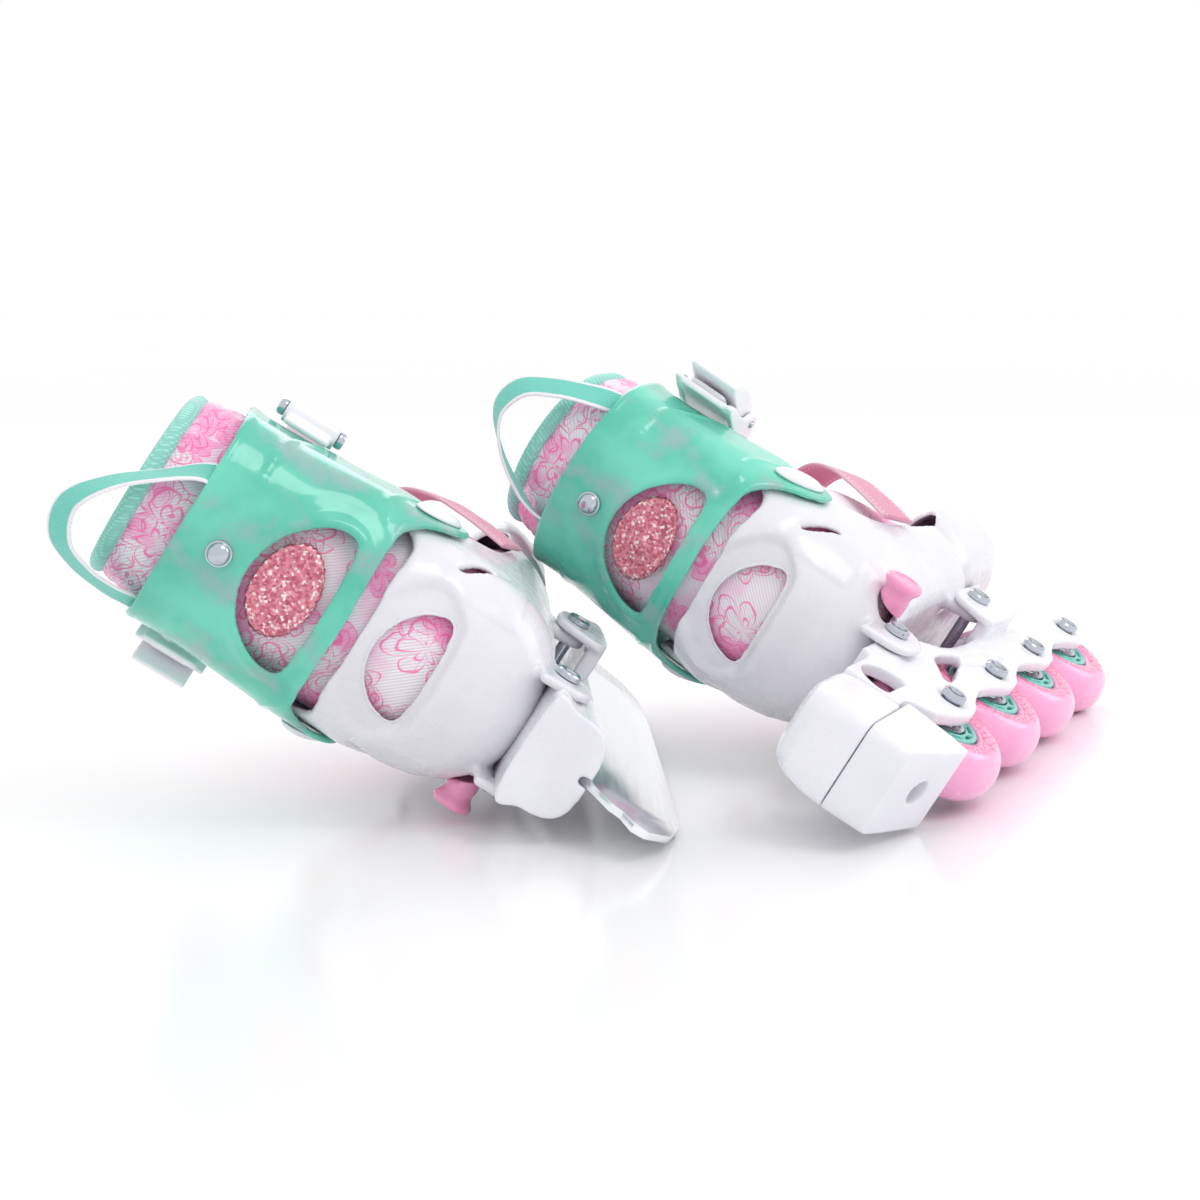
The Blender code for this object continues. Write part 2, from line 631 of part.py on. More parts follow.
def brake(parent):
    skate = "right"
    housing = box((-184, -20, 40.2), (-146.3, 20, 68.5), 3)
    housing = combined(housing, [rod(BOLT_RADIUS + FIT, (BRAKE_BOLT_X, 0, 30), (BRAKE_BOLT_X, 0, 56))])
    keep(housing, "brake_housing", "white", skate, parent)
    side = [(-136.5, 39.8), (-183.5, 39.8), (-183, 32), (-178, 21), (-141, 10.5), (-137, 13)]
    pad = combined(plate(side, -20, 20, bevel=1.6),
                   [rod(5.2, (BRAKE_BOLT_X, 0, 5), (BRAKE_BOLT_X, 0, 27)),
                    rod(BOLT_RADIUS + FIT, (BRAKE_BOLT_X, 0, 20), (BRAKE_BOLT_X, 0, 45))])
    keep(pad, "brake_pad", "rubber", skate, parent)
    bolt = combined(rod(4.6, (BRAKE_BOLT_X, 0, 22.5), (BRAKE_BOLT_X, 0, 26.7), 12),
                    [rod(BOLT_RADIUS, (BRAKE_BOLT_X, 0, 24), (BRAKE_BOLT_X, 0, 55), 12)], "UNION")
    keep(bolt, "brake_bolt", "steel", skate, parent)


def ice_chassis(parent):
    skate = "left"
    spar = [(-118, 46), (-112, 42), (-70, 38), (70, 38), (104, 42), (112, 50), (60, 56), (36, 52),
            (-34, 52), (-50, 56), (-66, 66), (-72, DECK_TOP), (-118, DECK_TOP)]
    body = combined(plate(spar, -8, 8), [box((-118, -TOWER_HALF, 44), (-72, TOWER_HALF, DECK_TOP), 0.0),
                                         box((-9, -20, 47.2), (34.5, 20, 53.0))] + saddle(), "UNION")
    slot = box((-150, -1.9, 20), (150, 1.9, 46.5))
    body = combined(body, [slot, bolt_hole(REAR_BOLT)])
    keep(body, "blade_holder", "white", skate, parent)
    edge = [(-112, 46), (-142, 28), (-140, 20), (-128, 8), (-106, 1.2), (-60, 0.2), (50, 0.2),
            (96, 1.6), (120, 9), (132, 22), (134, 34), (108, 46)]
    keep(plate(edge, -1.6, 1.6), "steel_blade", "steel", skate, parent)


# ---- Assembly ------------------------------------------------------------------------------

def boot(skate):
    root = laid(skate)
    pivot = (PIVOT[0], 0, PIVOT[1])
    flex = stand("cuff_pivot", skate, pivot, root)
    pin_point = buckle_point(*LEVER_PIN, 0)
    lever_pin = stand("lever_pin", skate, pin_point - Vector(pivot), flex)
    shell(skate, root)
    toe_cap(skate, root)
    button_guide = stand("button_guide", skate, (BUTTON[0], -30, BUTTON[1]), root)
    size_button(skate, button_guide)
    cuff(skate, flex, pivot)
    liner(skate, root, flex, pivot)
    pivot_caps(skate, flex, pivot)
    rivet(skate, flex, pivot)
    buckle(skate, flex, lever_pin, pivot, pin_point)
    ladder_strap(skate, flex, pivot)
    carry_loop(skate, flex, pivot)
    instep_strap(skate, root)
    mount_bolts(skate, root)
    return root


clear_scene()
PARTS = bpy.data.collections.new("inline_skates")
bpy.context.scene.collection.children.link(PARTS)
right = boot("right")
frame(right)
wheels(right)
brake(right)
left = boot("left")
ice_chassis(left)
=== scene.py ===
"""Looks for a child's pair lying on its side: a right inline skate and a left ice skate.

Every shape is made in a skate's own frame, in millimetres (X towards the toe, Y to the skate's
left, Z up the leg, the right skate as the pattern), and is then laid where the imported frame's
joints say that skate lies.  The left skate's boot is the mirror image of the right one's.
"""
import json
import math

import bmesh
import bpy
import numpy as np
from mathutils import Matrix, Vector


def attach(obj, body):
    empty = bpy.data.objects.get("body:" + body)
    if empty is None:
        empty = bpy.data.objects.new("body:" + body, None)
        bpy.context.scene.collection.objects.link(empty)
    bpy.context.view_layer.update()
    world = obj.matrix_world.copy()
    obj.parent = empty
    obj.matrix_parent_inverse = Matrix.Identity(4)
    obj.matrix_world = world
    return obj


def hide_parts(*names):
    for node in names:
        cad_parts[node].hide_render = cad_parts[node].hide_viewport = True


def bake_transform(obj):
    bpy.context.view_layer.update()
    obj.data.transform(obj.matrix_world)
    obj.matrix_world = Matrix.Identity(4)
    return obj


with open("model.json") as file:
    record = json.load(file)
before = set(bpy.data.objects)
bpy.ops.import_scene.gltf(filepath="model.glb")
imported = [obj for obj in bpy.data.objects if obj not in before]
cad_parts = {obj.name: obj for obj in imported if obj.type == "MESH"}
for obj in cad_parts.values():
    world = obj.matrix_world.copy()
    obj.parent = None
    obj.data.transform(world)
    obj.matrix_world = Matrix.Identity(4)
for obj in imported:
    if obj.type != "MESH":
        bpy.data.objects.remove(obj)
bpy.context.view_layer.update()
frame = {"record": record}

MM = 0.001
SKATES = ("right", "left")
MIRROR = Matrix.Diagonal((1, -1, 1, 1))

# Driving dimensions, as in the CAD
PIVOT = (-69.0, 140.0)
BUTTON = (-80.0, 77.0)
SOLE = 71.0
SHELL_FRONT = 28.0
ROUND_HEEL, ROUND_TOE = 34.0, 46.0
WHEEL_RADIUS, WHEEL_HALF = 32.0, 12.0
AXLE_X = [67.0 * step for step in (-1.5, -0.5, 0.5, 1.5)]
RAIL_IN, RAIL_OUT = 14.0, 20.0
REAR_BOLT, FRONT_BOLT = (-90.0, 67.0), (6.0, 61.0)
BOSS_RADIUS = 7.0
BRAKE_BOLT_X = -160.0
BRAKE_FACE = -146.4
BUTTON_HOLE = 6.15
PATCH_AT, PATCH_HALF = 175.5, (19.0, 12.5)
BUCKLE_FOOT, BUCKLE_TURN = Vector((-38.6, -41.4, 200.0)), 28.0
LEVER_PIN = (14.0, 12.0)
CUFF_ROUND, LINER_ROUND = (36, 44), (36, 40)
BLADE_HALF, BLADE_SLOT = 1.6, 1.9

# The simulation, the floor and the camera
CLOTH_FRAMES = 20
FLOOR_GAP = 0.0004
CAMERA = {"lens": 63.5, "down": 9.43, "distance": 888.7, "target": (-21.8, -21.4, 75.0)}

# Outlines of the boot at rising levels: z, back x, front x, half width at heel and at ball
SHELL_LEVELS = [(71, -95, 112, 25, 27), (76, -101, 118, 32, 33), (88, -105, 122, 39, 40.6),
                (105, -107, 118, 43, 45.4), (125, -107, 100, 45.2, 46), (158, -107, 70, 45.4, 45.4)]
TOE_LEVELS = [(74.5, -60, 110, 29.5, 29.5), (79, -60, 118, 35.8, 35.8), (86, -60, 122, 40.2, 40.2),
              (97, -60, 120, 44.2, 44.2), (106, -60, 112, 45.4, 44.4), (112, -60, 100, 44.6, 39),
              (116, -60, 90, 39, 31)]
LINER_LEVELS = [(78, -95, 104, 23, 23), (84, -99.6, 111, 31, 30.4), (95, -102, 111, 36.4, 35),
                (106, -103, 80, 39.2, 38), (113, -103, 54, 40, 39), (121, -103.2, 46, 40.6, 40),
                (132, -103.4, 33, 41.4, 41), (143, -103.4, 13, 41.6, 41.6), (154, -103.4, -7, 41.6, 41.6),
                (170, -103.6, -17, 42.0, 42.0), (190, -103.6, -18, 42.4, 42.4),
                (212, -103.2, -19, 41.6, 41.6), (230, -103.2, -17.5, 41.2, 41.2), (240, -102, -16, 39, 39)]
CUFF_LEVELS = [(118, -109.4, -10, 49.2, 49.2), (150, -109.4, -12, 49.2, 49.2),
               (175, -108.4, -15, 47.6, 47.6), (200, -107.4, -16, 45.8, 45.8),
               (226, -107.6, -15, 45.6, 45.6)]


# ---- Shapes, in millimetres ----------------------------------------------------------------

def link(name, data):
    made = bpy.data.objects.new(name, data)
    bpy.context.scene.collection.objects.link(made)
    return made


def from_bmesh(bm):
    bmesh.ops.recalc_face_normals(bm, faces=bm.faces)
    if bm.calc_volume(signed=True) < 0:
        bmesh.ops.reverse_faces(bm, faces=bm.faces)
    mesh = bpy.data.meshes.new("shape")
    bm.to_mesh(mesh)
    bm.free()
    return link("shape", mesh)


def baked(obj, weld=0.002):
    """Replace an object's mesh or curve by its evaluated mesh."""
    bpy.context.view_layer.update()
    evaluated = obj.evaluated_get(bpy.context.evaluated_depsgraph_get())
    bm = bmesh.new()
    bm.from_mesh(bpy.data.meshes.new_from_object(evaluated))
    bm.transform(obj.matrix_world)
    if weld:
        bmesh.ops.remove_doubles(bm, verts=bm.verts, dist=weld)
    bpy.data.objects.remove(obj, do_unlink=True)
    return from_bmesh(bm)


def modified(obj, kind, **settings):
    step = obj.modifiers.new(kind, kind)
    for key, value in settings.items():
        setattr(step, key, value)
    return step


def cut(target, cutters, operation="DIFFERENCE"):
    for cutter in cutters:
        modified(target, "BOOLEAN", solver="EXACT", operation=operation, object=cutter)
    made = baked(target)
    for cutter in cutters:
        bpy.data.objects.remove(cutter, do_unlink=True)
    return made


def together(shapes):
    """One object from shapes that may run into each other; moulded() makes them one body."""
    bm = bmesh.new()
    for shape in shapes:
        bm.from_mesh(shape.data)
        bpy.data.objects.remove(shape, do_unlink=True)
    mesh = bpy.data.meshes.new("shape")
    bm.to_mesh(mesh)
    bm.free()
    return link("shape", mesh)


def moulded(obj, voxel=0.9, rounds=6, keep=0.45):
    """Make one skin with rounded edges, as a mould leaves them, and thin its mesh."""
    modified(obj, "REMESH", mode="VOXEL", voxel_size=voxel)
    modified(obj, "SMOOTH", factor=0.5, iterations=rounds)
    if keep < 1:
        modified(obj, "DECIMATE", ratio=keep)
    return baked(obj, 0)


def one_skin(shapes, voxel):
    """Shapes that may run into each other as one body, ready to be cut."""
    body = together(shapes)
    modified(body, "REMESH", mode="VOXEL", voxel_size=voxel)
    return baked(body, 0)


def box(low, high, bevel=0.0, segments=3):
    bm = bmesh.new()
    bmesh.ops.create_cube(bm, size=1.0)
    size = Vector(high) - Vector(low)
    middle = (Vector(high) + Vector(low)) / 2
    bm.transform(Matrix.Translation(middle) @ Matrix.Diagonal((*size, 1.0)))
    made = from_bmesh(bm)
    if bevel:
        modified(made, "BEVEL", width=bevel, segments=segments)
        made = baked(made)
    return made


def rod(radius, start, end, sides=32, radius_end=None):
    start, end = Vector(start), Vector(end)
    along = end - start
    bm = bmesh.new()
    bmesh.ops.create_cone(bm, cap_ends=True, segments=sides, radius1=radius,
                          radius2=radius if radius_end is None else radius_end, depth=along.length)
    turn = along.to_track_quat("Z", "Y").to_matrix().to_4x4()
    bm.transform(Matrix.Translation((start + end) / 2) @ turn)
    return from_bmesh(bm)


def plate(outline, low, high, axis="Y"):
    """A flat outline extruded along Y, with points (x, z), or along X, with points (y, z)."""
    bm = bmesh.new()
    near = []
    for across, up in outline:
        near.append(bm.verts.new((across, low, up) if axis == "Y" else (low, across, up)))
    face = bm.faces.new(near)
    grown = bmesh.ops.extrude_face_region(bm, geom=[face])
    shift = Vector((0, high - low, 0)) if axis == "Y" else Vector((high - low, 0, 0))
    far = [part for part in grown["geom"] if isinstance(part, bmesh.types.BMVert)]
    bmesh.ops.translate(bm, vec=shift, verts=far)
    bmesh.ops.triangulate(bm, faces=[f for f in bm.faces if len(f.verts) > 4])
    return from_bmesh(bm)


def both_sides(outline, near, far):
    """The same plate on either side of the skate's middle plane."""
    return [plate(outline, *sorted((side * near, side * far))) for side in (-1, 1)]


def turned(profile, steps=64, closed=True):
    """A ring or a knob turned about Y from (radius, y) points."""
    bm = bmesh.new()
    corners = [bm.verts.new((radius, along, 0)) for radius, along in profile]
    pairs = list(zip(corners, corners[1:] + corners[:1]))
    for first, second in pairs if closed else pairs[:-1]:
        bm.edges.new((first, second))
    mesh = bpy.data.meshes.new("turned")
    bm.to_mesh(mesh)
    bm.free()
    made = link("turned", mesh)
    modified(made, "SCREW", axis="Y", steps=steps, render_steps=steps, use_merge_vertices=True,
             merge_threshold=0.0001)
    return baked(made)


def moved(obj, place):
    obj.data.transform(Matrix.Translation(place))
    return obj


def rolled(obj, degrees, axis):
    obj.data.transform(Matrix.Rotation(math.radians(degrees), 4, axis))
    return obj


def smooth_path(points, steps, closed=False):
    """Points of a Catmull-Rom curve through the given ones."""
    points = [Vector(point) for point in points]
    if closed:
        ends = [points[-1]] + points + points[:2]
    else:
        ends = [2 * points[0] - points[1]] + points + [2 * points[-1] - points[-2]]
    path = []
    for index in range(1, len(ends) - 2):
        a, b, c, d = ends[index - 1:index + 3]
        for step in range(steps):
            t = step / steps
            path.append(0.5 * (2 * b + (c - a) * t + (2 * a - 5 * b + 4 * c - d) * t ** 2
                               + (3 * b - a - 3 * c + d) * t ** 3))
    return path if closed else path + [points[-1]]


def curve(points, steps=4):
    return [tuple(point) for point in smooth_path(points, steps)]


def closed(points, steps=4):
    return [tuple(point) for point in smooth_path(points, steps, closed=True)]


def round_turn(count):
    return [2 * math.pi * index / count for index in range(count)]


def arc(centre, radii, start, end, count):
    """Points on an ellipse between two angles in degrees."""
    angles = [math.radians(start + (end - start) * index / count) for index in range(count + 1)]
    return [(centre[0] + radii[0] * math.cos(a), centre[1] + radii[1] * math.sin(a)) for a in angles]


def boot_ring(level, inset=0.0, heel=ROUND_HEEL, toe=ROUND_TOE, arc_steps=24, side_steps=16):
    """One closed outline of the boot at a level, rounded at the heel and the toe."""
    z, back, front, half_heel, half_ball = level
    back, front = back + inset, front - inset
    half_heel, half_ball = half_heel - inset, half_ball - inset
    heel, toe = heel - inset, toe - inset
    half = []
    for index in range(arc_steps + 1):
        angle = math.pi / 2 * index / arc_steps
        half.append((back + heel * (1 - math.cos(angle)), half_heel * math.sin(angle)))
    span = front - toe - back - heel
    for index in range(1, side_steps):
        share = index / side_steps
        half.append((back + heel + span * share, half_heel + (half_ball - half_heel) * share))
    for index in range(arc_steps + 1):
        angle = math.pi / 2 * index / arc_steps
        half.append((front - toe + toe * math.sin(angle), half_ball * math.cos(angle)))
    other = [(x, -y) for x, y in reversed(half[1:-1])]
    return [Vector((x, y, z)) for x, y in half + other]


def loft(rings):
    """A closed solid through rings of the same number of points."""
    bm = bmesh.new()
    rows = [[bm.verts.new(point) for point in ring] for ring in rings]
    count = len(rows[0])
    for low, high in zip(rows, rows[1:]):
        for index in range(count):
            after = (index + 1) % count
            bm.faces.new((low[index], low[after], high[after], high[index]))
    bm.faces.new(list(reversed(rows[0])))
    bm.faces.new(rows[-1])
    return from_bmesh(bm)


def boot_loft(levels, inset=0.0, heel=ROUND_HEEL, toe=ROUND_TOE, low=None, high=None):
    """The boot through levels joined by a smooth curve, drawn on straight to a low and a high z."""
    rings = [boot_ring(level, inset, heel, toe) for level in smooth_path(levels, 8)]
    if low is not None:
        rings = [[Vector((p.x, p.y, low)) for p in rings[0]]] + rings
    if high is not None:
        rings.append([Vector((p.x, p.y, high)) for p in rings[-1]])
    return loft(rings)


def ribbon(path, across, width, thick, extra=None):
    """A strap along a path with rounded edges.  Its "place" holds millimetres along and across."""
    section = [(math.cos(angle), math.sin(angle)) for angle in round_turn(20)]
    section = [(math.copysign(abs(c) ** 0.35, c), math.copysign(abs(s) ** 0.6, s)) for c, s in section]
    rings, places, run = [], [], 0.0
    for index, point in enumerate(path):
        before, after = Vector(path[max(index - 1, 0)]), Vector(path[min(index + 1, len(path) - 1)])
        along = (after - before).normalized()
        side = Vector(across(index / (len(path) - 1)) if callable(across) else across)
        side = (side - along * side.dot(along)).normalized()
        face = along.cross(side)
        if index:
            run += (Vector(point) - Vector(path[index - 1])).length
        tall = thick / 2 + (extra(run) if extra else 0)
        rings.append([Vector(point) + side * (width / 2 * a) + face * (tall * b) for a, b in section])
        places += [(run, width / 2 * a, b) for a, b in section]
    made = loft(rings)
    remember(made, places)
    return made


def tube(path, radius, closed=False, sides=6):
    curve = bpy.data.curves.new("tube", "CURVE")
    curve.dimensions = "3D"
    curve.bevel_depth = radius
    curve.bevel_resolution = sides // 2
    curve.use_fill_caps = not closed
    spline = curve.splines.new("POLY")
    spline.points.add(len(path) - 1)
    for point, co in zip(spline.points, path):
        point.co = (*co, 1)
    spline.use_cyclic_u = closed
    return baked(link("tube", curve))


# ---- Moulded relief --------------------------------------------------------------------------

def arrays(mesh):
    places = np.empty(len(mesh.vertices) * 3)
    mesh.vertices.foreach_get("co", places)
    normals = np.array([vertex.normal for vertex in mesh.vertices])
    return places.reshape(-1, 3), normals


def relief(obj, height, rounds=3):
    """Push a surface along its normals by height(places, normals), then soften it."""
    places, normals = arrays(obj.data)
    places += normals * height(places, normals)[:, None]
    obj.data.vertices.foreach_set("co", places.ravel())
    obj.data.update()
    if rounds:
        bm = bmesh.new()
        bm.from_mesh(obj.data)
        for _ in range(rounds):
            bmesh.ops.smooth_vert(bm, verts=bm.verts, factor=0.5, use_axis_x=True, use_axis_y=True,
                                  use_axis_z=True)
        bm.to_mesh(obj.data)
        bm.free()
    return obj


def ease(value, low, high):
    share = np.clip((value - low) / (high - low), 0, 1)
    return share * share * (3 - 2 * share)


def away(places, outline, first, second):
    """Distance of each place from an outline, seen along the third axis."""
    dots = np.array([tuple(point)[:2] for point in outline])
    flat = places[:, [first, second]]
    return np.sqrt(((flat[:, None, :] - dots[None, :, :]) ** 2).sum(2)).min(1)


def close(distance, width):
    """A soft hump: 1 on a line, falling to nothing past its width."""
    return np.exp(-(distance / width) ** 2)


def facing_out(places, normals):
    """1 where a surface round the ankle faces outwards, 0 inside."""
    return (normals[:, 1] * places[:, 1] + normals[:, 0] * (places[:, 0] + 60) > 0).astype(float)


def remember(obj, places=None):
    """Keep shape coordinates in millimetres on the mesh, for the materials."""
    mesh = obj.data
    if "place" in mesh.attributes:
        return
    if places is None:
        places = arrays(mesh)[0]
    kept = mesh.attributes.new("place", "FLOAT_VECTOR", "POINT")
    kept.data.foreach_set("vector", np.array(places, dtype=np.float32).ravel())


# ---- Materials -------------------------------------------------------------------------------

class Paint:
    """A procedural material on a Principled shader, reading the "place" attribute."""

    def __init__(self, name, base, roughness=0.3, metallic=0.0, **sockets):
        self.material = bpy.data.materials.new(name)
        self.material.use_nodes = True
        self.tree = self.material.node_tree
        self.shader = self.tree.nodes["Principled BSDF"]
        self.set("Base Color", (*base, 1.0))
        self.set("Roughness", roughness)
        self.set("Metallic", metallic)
        for key, value in sockets.items():
            self.set(key.replace("_", " "), value)
        place = self.node("ShaderNodeAttribute")
        place.attribute_name = "place"
        self.place = place.outputs["Vector"]

    def set(self, socket, value):
        self.shader.inputs[socket].default_value = value

    def node(self, kind, **settings):
        made = self.tree.nodes.new(kind)
        for key, value in settings.items():
            setattr(made, key, value)
        return made

    def feed(self, socket, value):
        if hasattr(value, "links"):
            self.tree.links.new(value, socket)
        else:
            socket.default_value = value

    def math(self, operation, first, second=0.0, third=0.0):
        made = self.node("ShaderNodeMath", operation=operation)
        for socket, value in zip(made.inputs, (first, second, third)):
            self.feed(socket, value)
        return made.outputs[0]

    def times(self, first, second):
        return self.math("MULTIPLY", first, second)

    def gap(self, first, second):
        return self.math("ABSOLUTE", self.math("SUBTRACT", first, second))

    def sine(self, value, factor):
        return self.math("SINE", self.times(value, factor))

    def vector(self, operation, first, second=(0, 0, 0)):
        made = self.node("ShaderNodeVectorMath", operation=operation)
        self.feed(made.inputs[0], first)
        self.feed(made.inputs[1], second)
        return made.outputs["Value" if operation in ("LENGTH", "DOT_PRODUCT") else "Vector"]

    def noise(self, scale, detail=2.0, colour=False, vector=None):
        made = self.node("ShaderNodeTexNoise")
        self.feed(made.inputs["Vector"], vector or self.place)
        made.inputs["Scale"].default_value = scale
        made.inputs["Detail"].default_value = detail
        return made.outputs["Color" if colour else "Fac"]

    def cells(self, scale, feature="F1", output="Distance", vector=None):
        made = self.node("ShaderNodeTexVoronoi", feature=feature)
        self.feed(made.inputs["Vector"], vector or self.place)
        made.inputs["Scale"].default_value = scale
        return made.outputs[output]

    def step(self, value, low, high, start=0.0, end=1.0):
        made = self.node("ShaderNodeMapRange", interpolation_type="SMOOTHSTEP")
        for socket, number in zip(made.inputs, (value, low, high, start, end)):
            self.feed(socket, number)
        return made.outputs[0]

    def mix(self, share, first, second):
        made = self.node("ShaderNodeMix", data_type="RGBA")
        self.feed(made.inputs["Factor"], share)
        for socket, colour in ((made.inputs[6], first), (made.inputs[7], second)):
            self.feed(socket, colour if hasattr(colour, "links") else (*colour, 1.0))
        return made.outputs[2]

    def wave(self, direction, pitch):
        """A rounded ridge pattern along a direction, from 0 to 1."""
        along = self.vector("DOT_PRODUCT", self.place, direction)
        return self.math("MULTIPLY_ADD", self.sine(along, 2 * math.pi / pitch), 0.5, 0.5)

    def parts(self):
        made = self.node("ShaderNodeSeparateXYZ")
        self.feed(made.inputs[0], self.place)
        return made.outputs

    def colour(self, value):
        self.feed(self.shader.inputs["Base Color"], value)

    def rough(self, value, low, high):
        self.feed(self.shader.inputs["Roughness"], self.step(value, 0.3, 0.7, low, high))

    def bump(self, height, strength, depth=0.0002):
        made = self.node("ShaderNodeBump")
        made.inputs["Strength"].default_value = strength
        made.inputs["Distance"].default_value = depth
        self.feed(made.inputs["Height"], height)
        self.feed(self.shader.inputs["Normal"], made.outputs[0])


def white_plastic(name, base=(0.76, 0.755, 0.80), low=0.20, high=0.32):
    paint = Paint(name, base, Coat_Weight=0.3, Coat_Roughness=0.12, IOR=1.47)
    flow = paint.noise(0.03, 3.0)
    paint.colour(paint.mix(paint.step(flow, 0.35, 0.7), base, tuple(min(c * 1.06, 1) for c in base)))
    paint.rough(paint.noise(0.12, 4.0), low, high)
    paint.bump(paint.noise(1.2, 2.0), 0.02)
    return paint.material


def teal_plastic():
    paint = Paint("cuff teal", (0.20, 0.75, 0.62), Transmission_Weight=0.22, Coat_Weight=0.6,
                  Coat_Roughness=0.06, Subsurface_Weight=0.15, Subsurface_Scale=0.005, IOR=1.45)
    cloud = paint.noise(0.028, 4.0)
    haze = paint.noise(0.055, 5.0)
    body = paint.mix(paint.step(cloud, 0.32, 0.66), (0.20, 0.84, 0.64), (0.10, 0.64, 0.47))
    body = paint.mix(paint.step(haze, 0.48, 0.70, 0.0, 0.7), body, (0.42, 0.56, 0.58))
    paint.colour(body)
    paint.rough(haze, 0.14, 0.26)
    paint.bump(paint.noise(0.22, 3.0), 0.10, 0.0004)
    return paint.material


def print_fabric():
    """Woven cloth with pink zones and a generic line print of petals."""
    paint = Paint("liner print", (0.9, 0.7, 0.8), 0.85, Sheen_Weight=0.35, Sheen_Roughness=0.4)
    drift = paint.vector("SUBTRACT", paint.noise(0.045, 2.0, colour=True), (0.5, 0.5, 0.5))
    drift = paint.vector("MULTIPLY", drift, (16, 16, 16))
    warped = paint.vector("ADD", paint.place, drift)
    lines, fill = 0.0, 0.0
    for size, petals, shift in ((0.034, 5, (0, 0, 0)), (0.052, 6, (31, 17, 9))):
        spot = paint.vector("ADD", warped, shift)
        blooms = paint.node("ShaderNodeTexVoronoi")
        paint.feed(blooms.inputs["Vector"], spot)
        blooms.inputs["Scale"].default_value = size
        arm = paint.node("ShaderNodeSeparateXYZ")
        paint.feed(arm.inputs[0], paint.vector("SUBTRACT", spot, blooms.outputs["Position"]))
        level = paint.math("ADD", arm.outputs[1], arm.outputs[0])
        round_way = paint.math("ARCTAN2", arm.outputs[2], level)
        lobe = paint.math("POWER", paint.math("ABSOLUTE", paint.sine(round_way, petals / 2)), 0.6)
        reach = blooms.outputs["Distance"]
        for outline in (0.20, 0.36, 0.52):
            petal = paint.math("MULTIPLY_ADD", lobe, outline * 0.55, outline * 0.5)
            line = paint.step(paint.gap(reach, petal), 0.009, 0.020, 1.0, 0.0)
            lines = paint.math("MAXIMUM", lines, line)
        inside = paint.step(paint.math("SUBTRACT", petal, reach), -0.02, 0.03)
        ray = paint.math("ABSOLUTE", paint.sine(round_way, petals * 1.5))
        vein = paint.times(paint.step(ray, 0.05, 0.16, 1.0, 0.0), inside)
        lines = paint.math("MAXIMUM", lines, paint.times(vein, 0.7))
        fill = paint.math("MAXIMUM", fill, paint.times(inside, 0.45))
    zone = paint.step(paint.noise(0.034, 2.0), 0.42, 0.56)
    thread = paint.wave((0.25, 0.75, 0.62), 1.15)
    cloth = paint.mix(thread, (0.76, 0.70, 0.78), (0.96, 0.90, 0.95))
    pink = paint.times(zone, paint.math("ADD", fill, 0.35))
    cloth = paint.mix(pink, cloth, (0.98, 0.30, 0.60))
    paint.colour(paint.mix(paint.times(lines, 0.8), cloth, (0.98, 0.14, 0.42)))
    paint.bump(paint.math("ADD", thread, paint.noise(1.2, 3.0)), 0.35, 0.0003)
    return paint.material


def plain_fabric(name, base, edge=None, half=0.0, pitch=0.9, dots=0.0):
    """Webbing or lining; a strap's edge bands and stitches come from its place across."""
    paint = Paint(name, base, 0.78, Sheen_Weight=0.4, Sheen_Roughness=0.45)
    along, across, _ = paint.parts()
    weave = paint.times(paint.wave((1, 0.5, 0.4), pitch), paint.wave((-0.5, 1, 0.4), pitch))
    body = paint.mix(weave, tuple(c * 0.78 for c in base), tuple(min(c * 1.1, 1) for c in base))
    if edge:
        out = paint.math("ABSOLUTE", across)
        body = paint.mix(paint.step(out, half - 0.25, half + 0.25), body, edge)
    if dots:
        row = paint.step(paint.gap(paint.math("ABSOLUTE", across), dots), 0.28, 0.42, 1.0, 0.0)
        dash = paint.step(paint.sine(along, 2.4), -0.1, 0.2)
        body = paint.mix(paint.times(row, dash), body, (0.97, 0.78, 0.86))
    paint.colour(body)
    paint.bump(weave, 0.5, 0.0004)
    return paint.material


def glitter():
    paint = Paint("glitter", (0.85, 0.36, 0.42), 0.25, 0.55)
    colour = paint.node("ShaderNodeSeparateColor")
    paint.feed(colour.inputs[0], paint.cells(0.95, output="Color"))
    flake = colour.outputs[0]
    body = paint.mix(flake, (0.48, 0.09, 0.15), (0.88, 0.34, 0.42))
    # Flake tones vary at random from dark red to pink; the pale cells, on a random share of the flakes, are
    # painted glints
    paint.colour(paint.mix(paint.step(colour.outputs[1], 0.80, 0.94), body, (1.0, 0.80, 0.78)))
    paint.rough(colour.outputs[2], 0.12, 0.5)
    paint.bump(flake, 0.7, 0.0008)
    return paint.material


def metal(name, base, low, high, direction=None):
    paint = Paint(name, base, low, 1.0)
    grain = paint.noise(0.6, 4.0)
    if direction:
        stretched = paint.vector("MULTIPLY", paint.place, direction)
        grain = paint.noise(1.0, 5.0, vector=stretched)
    paint.colour(paint.mix(grain, tuple(c * 0.88 for c in base), base))
    paint.rough(grain, low, high)
    paint.bump(grain, 0.12)
    return paint.material


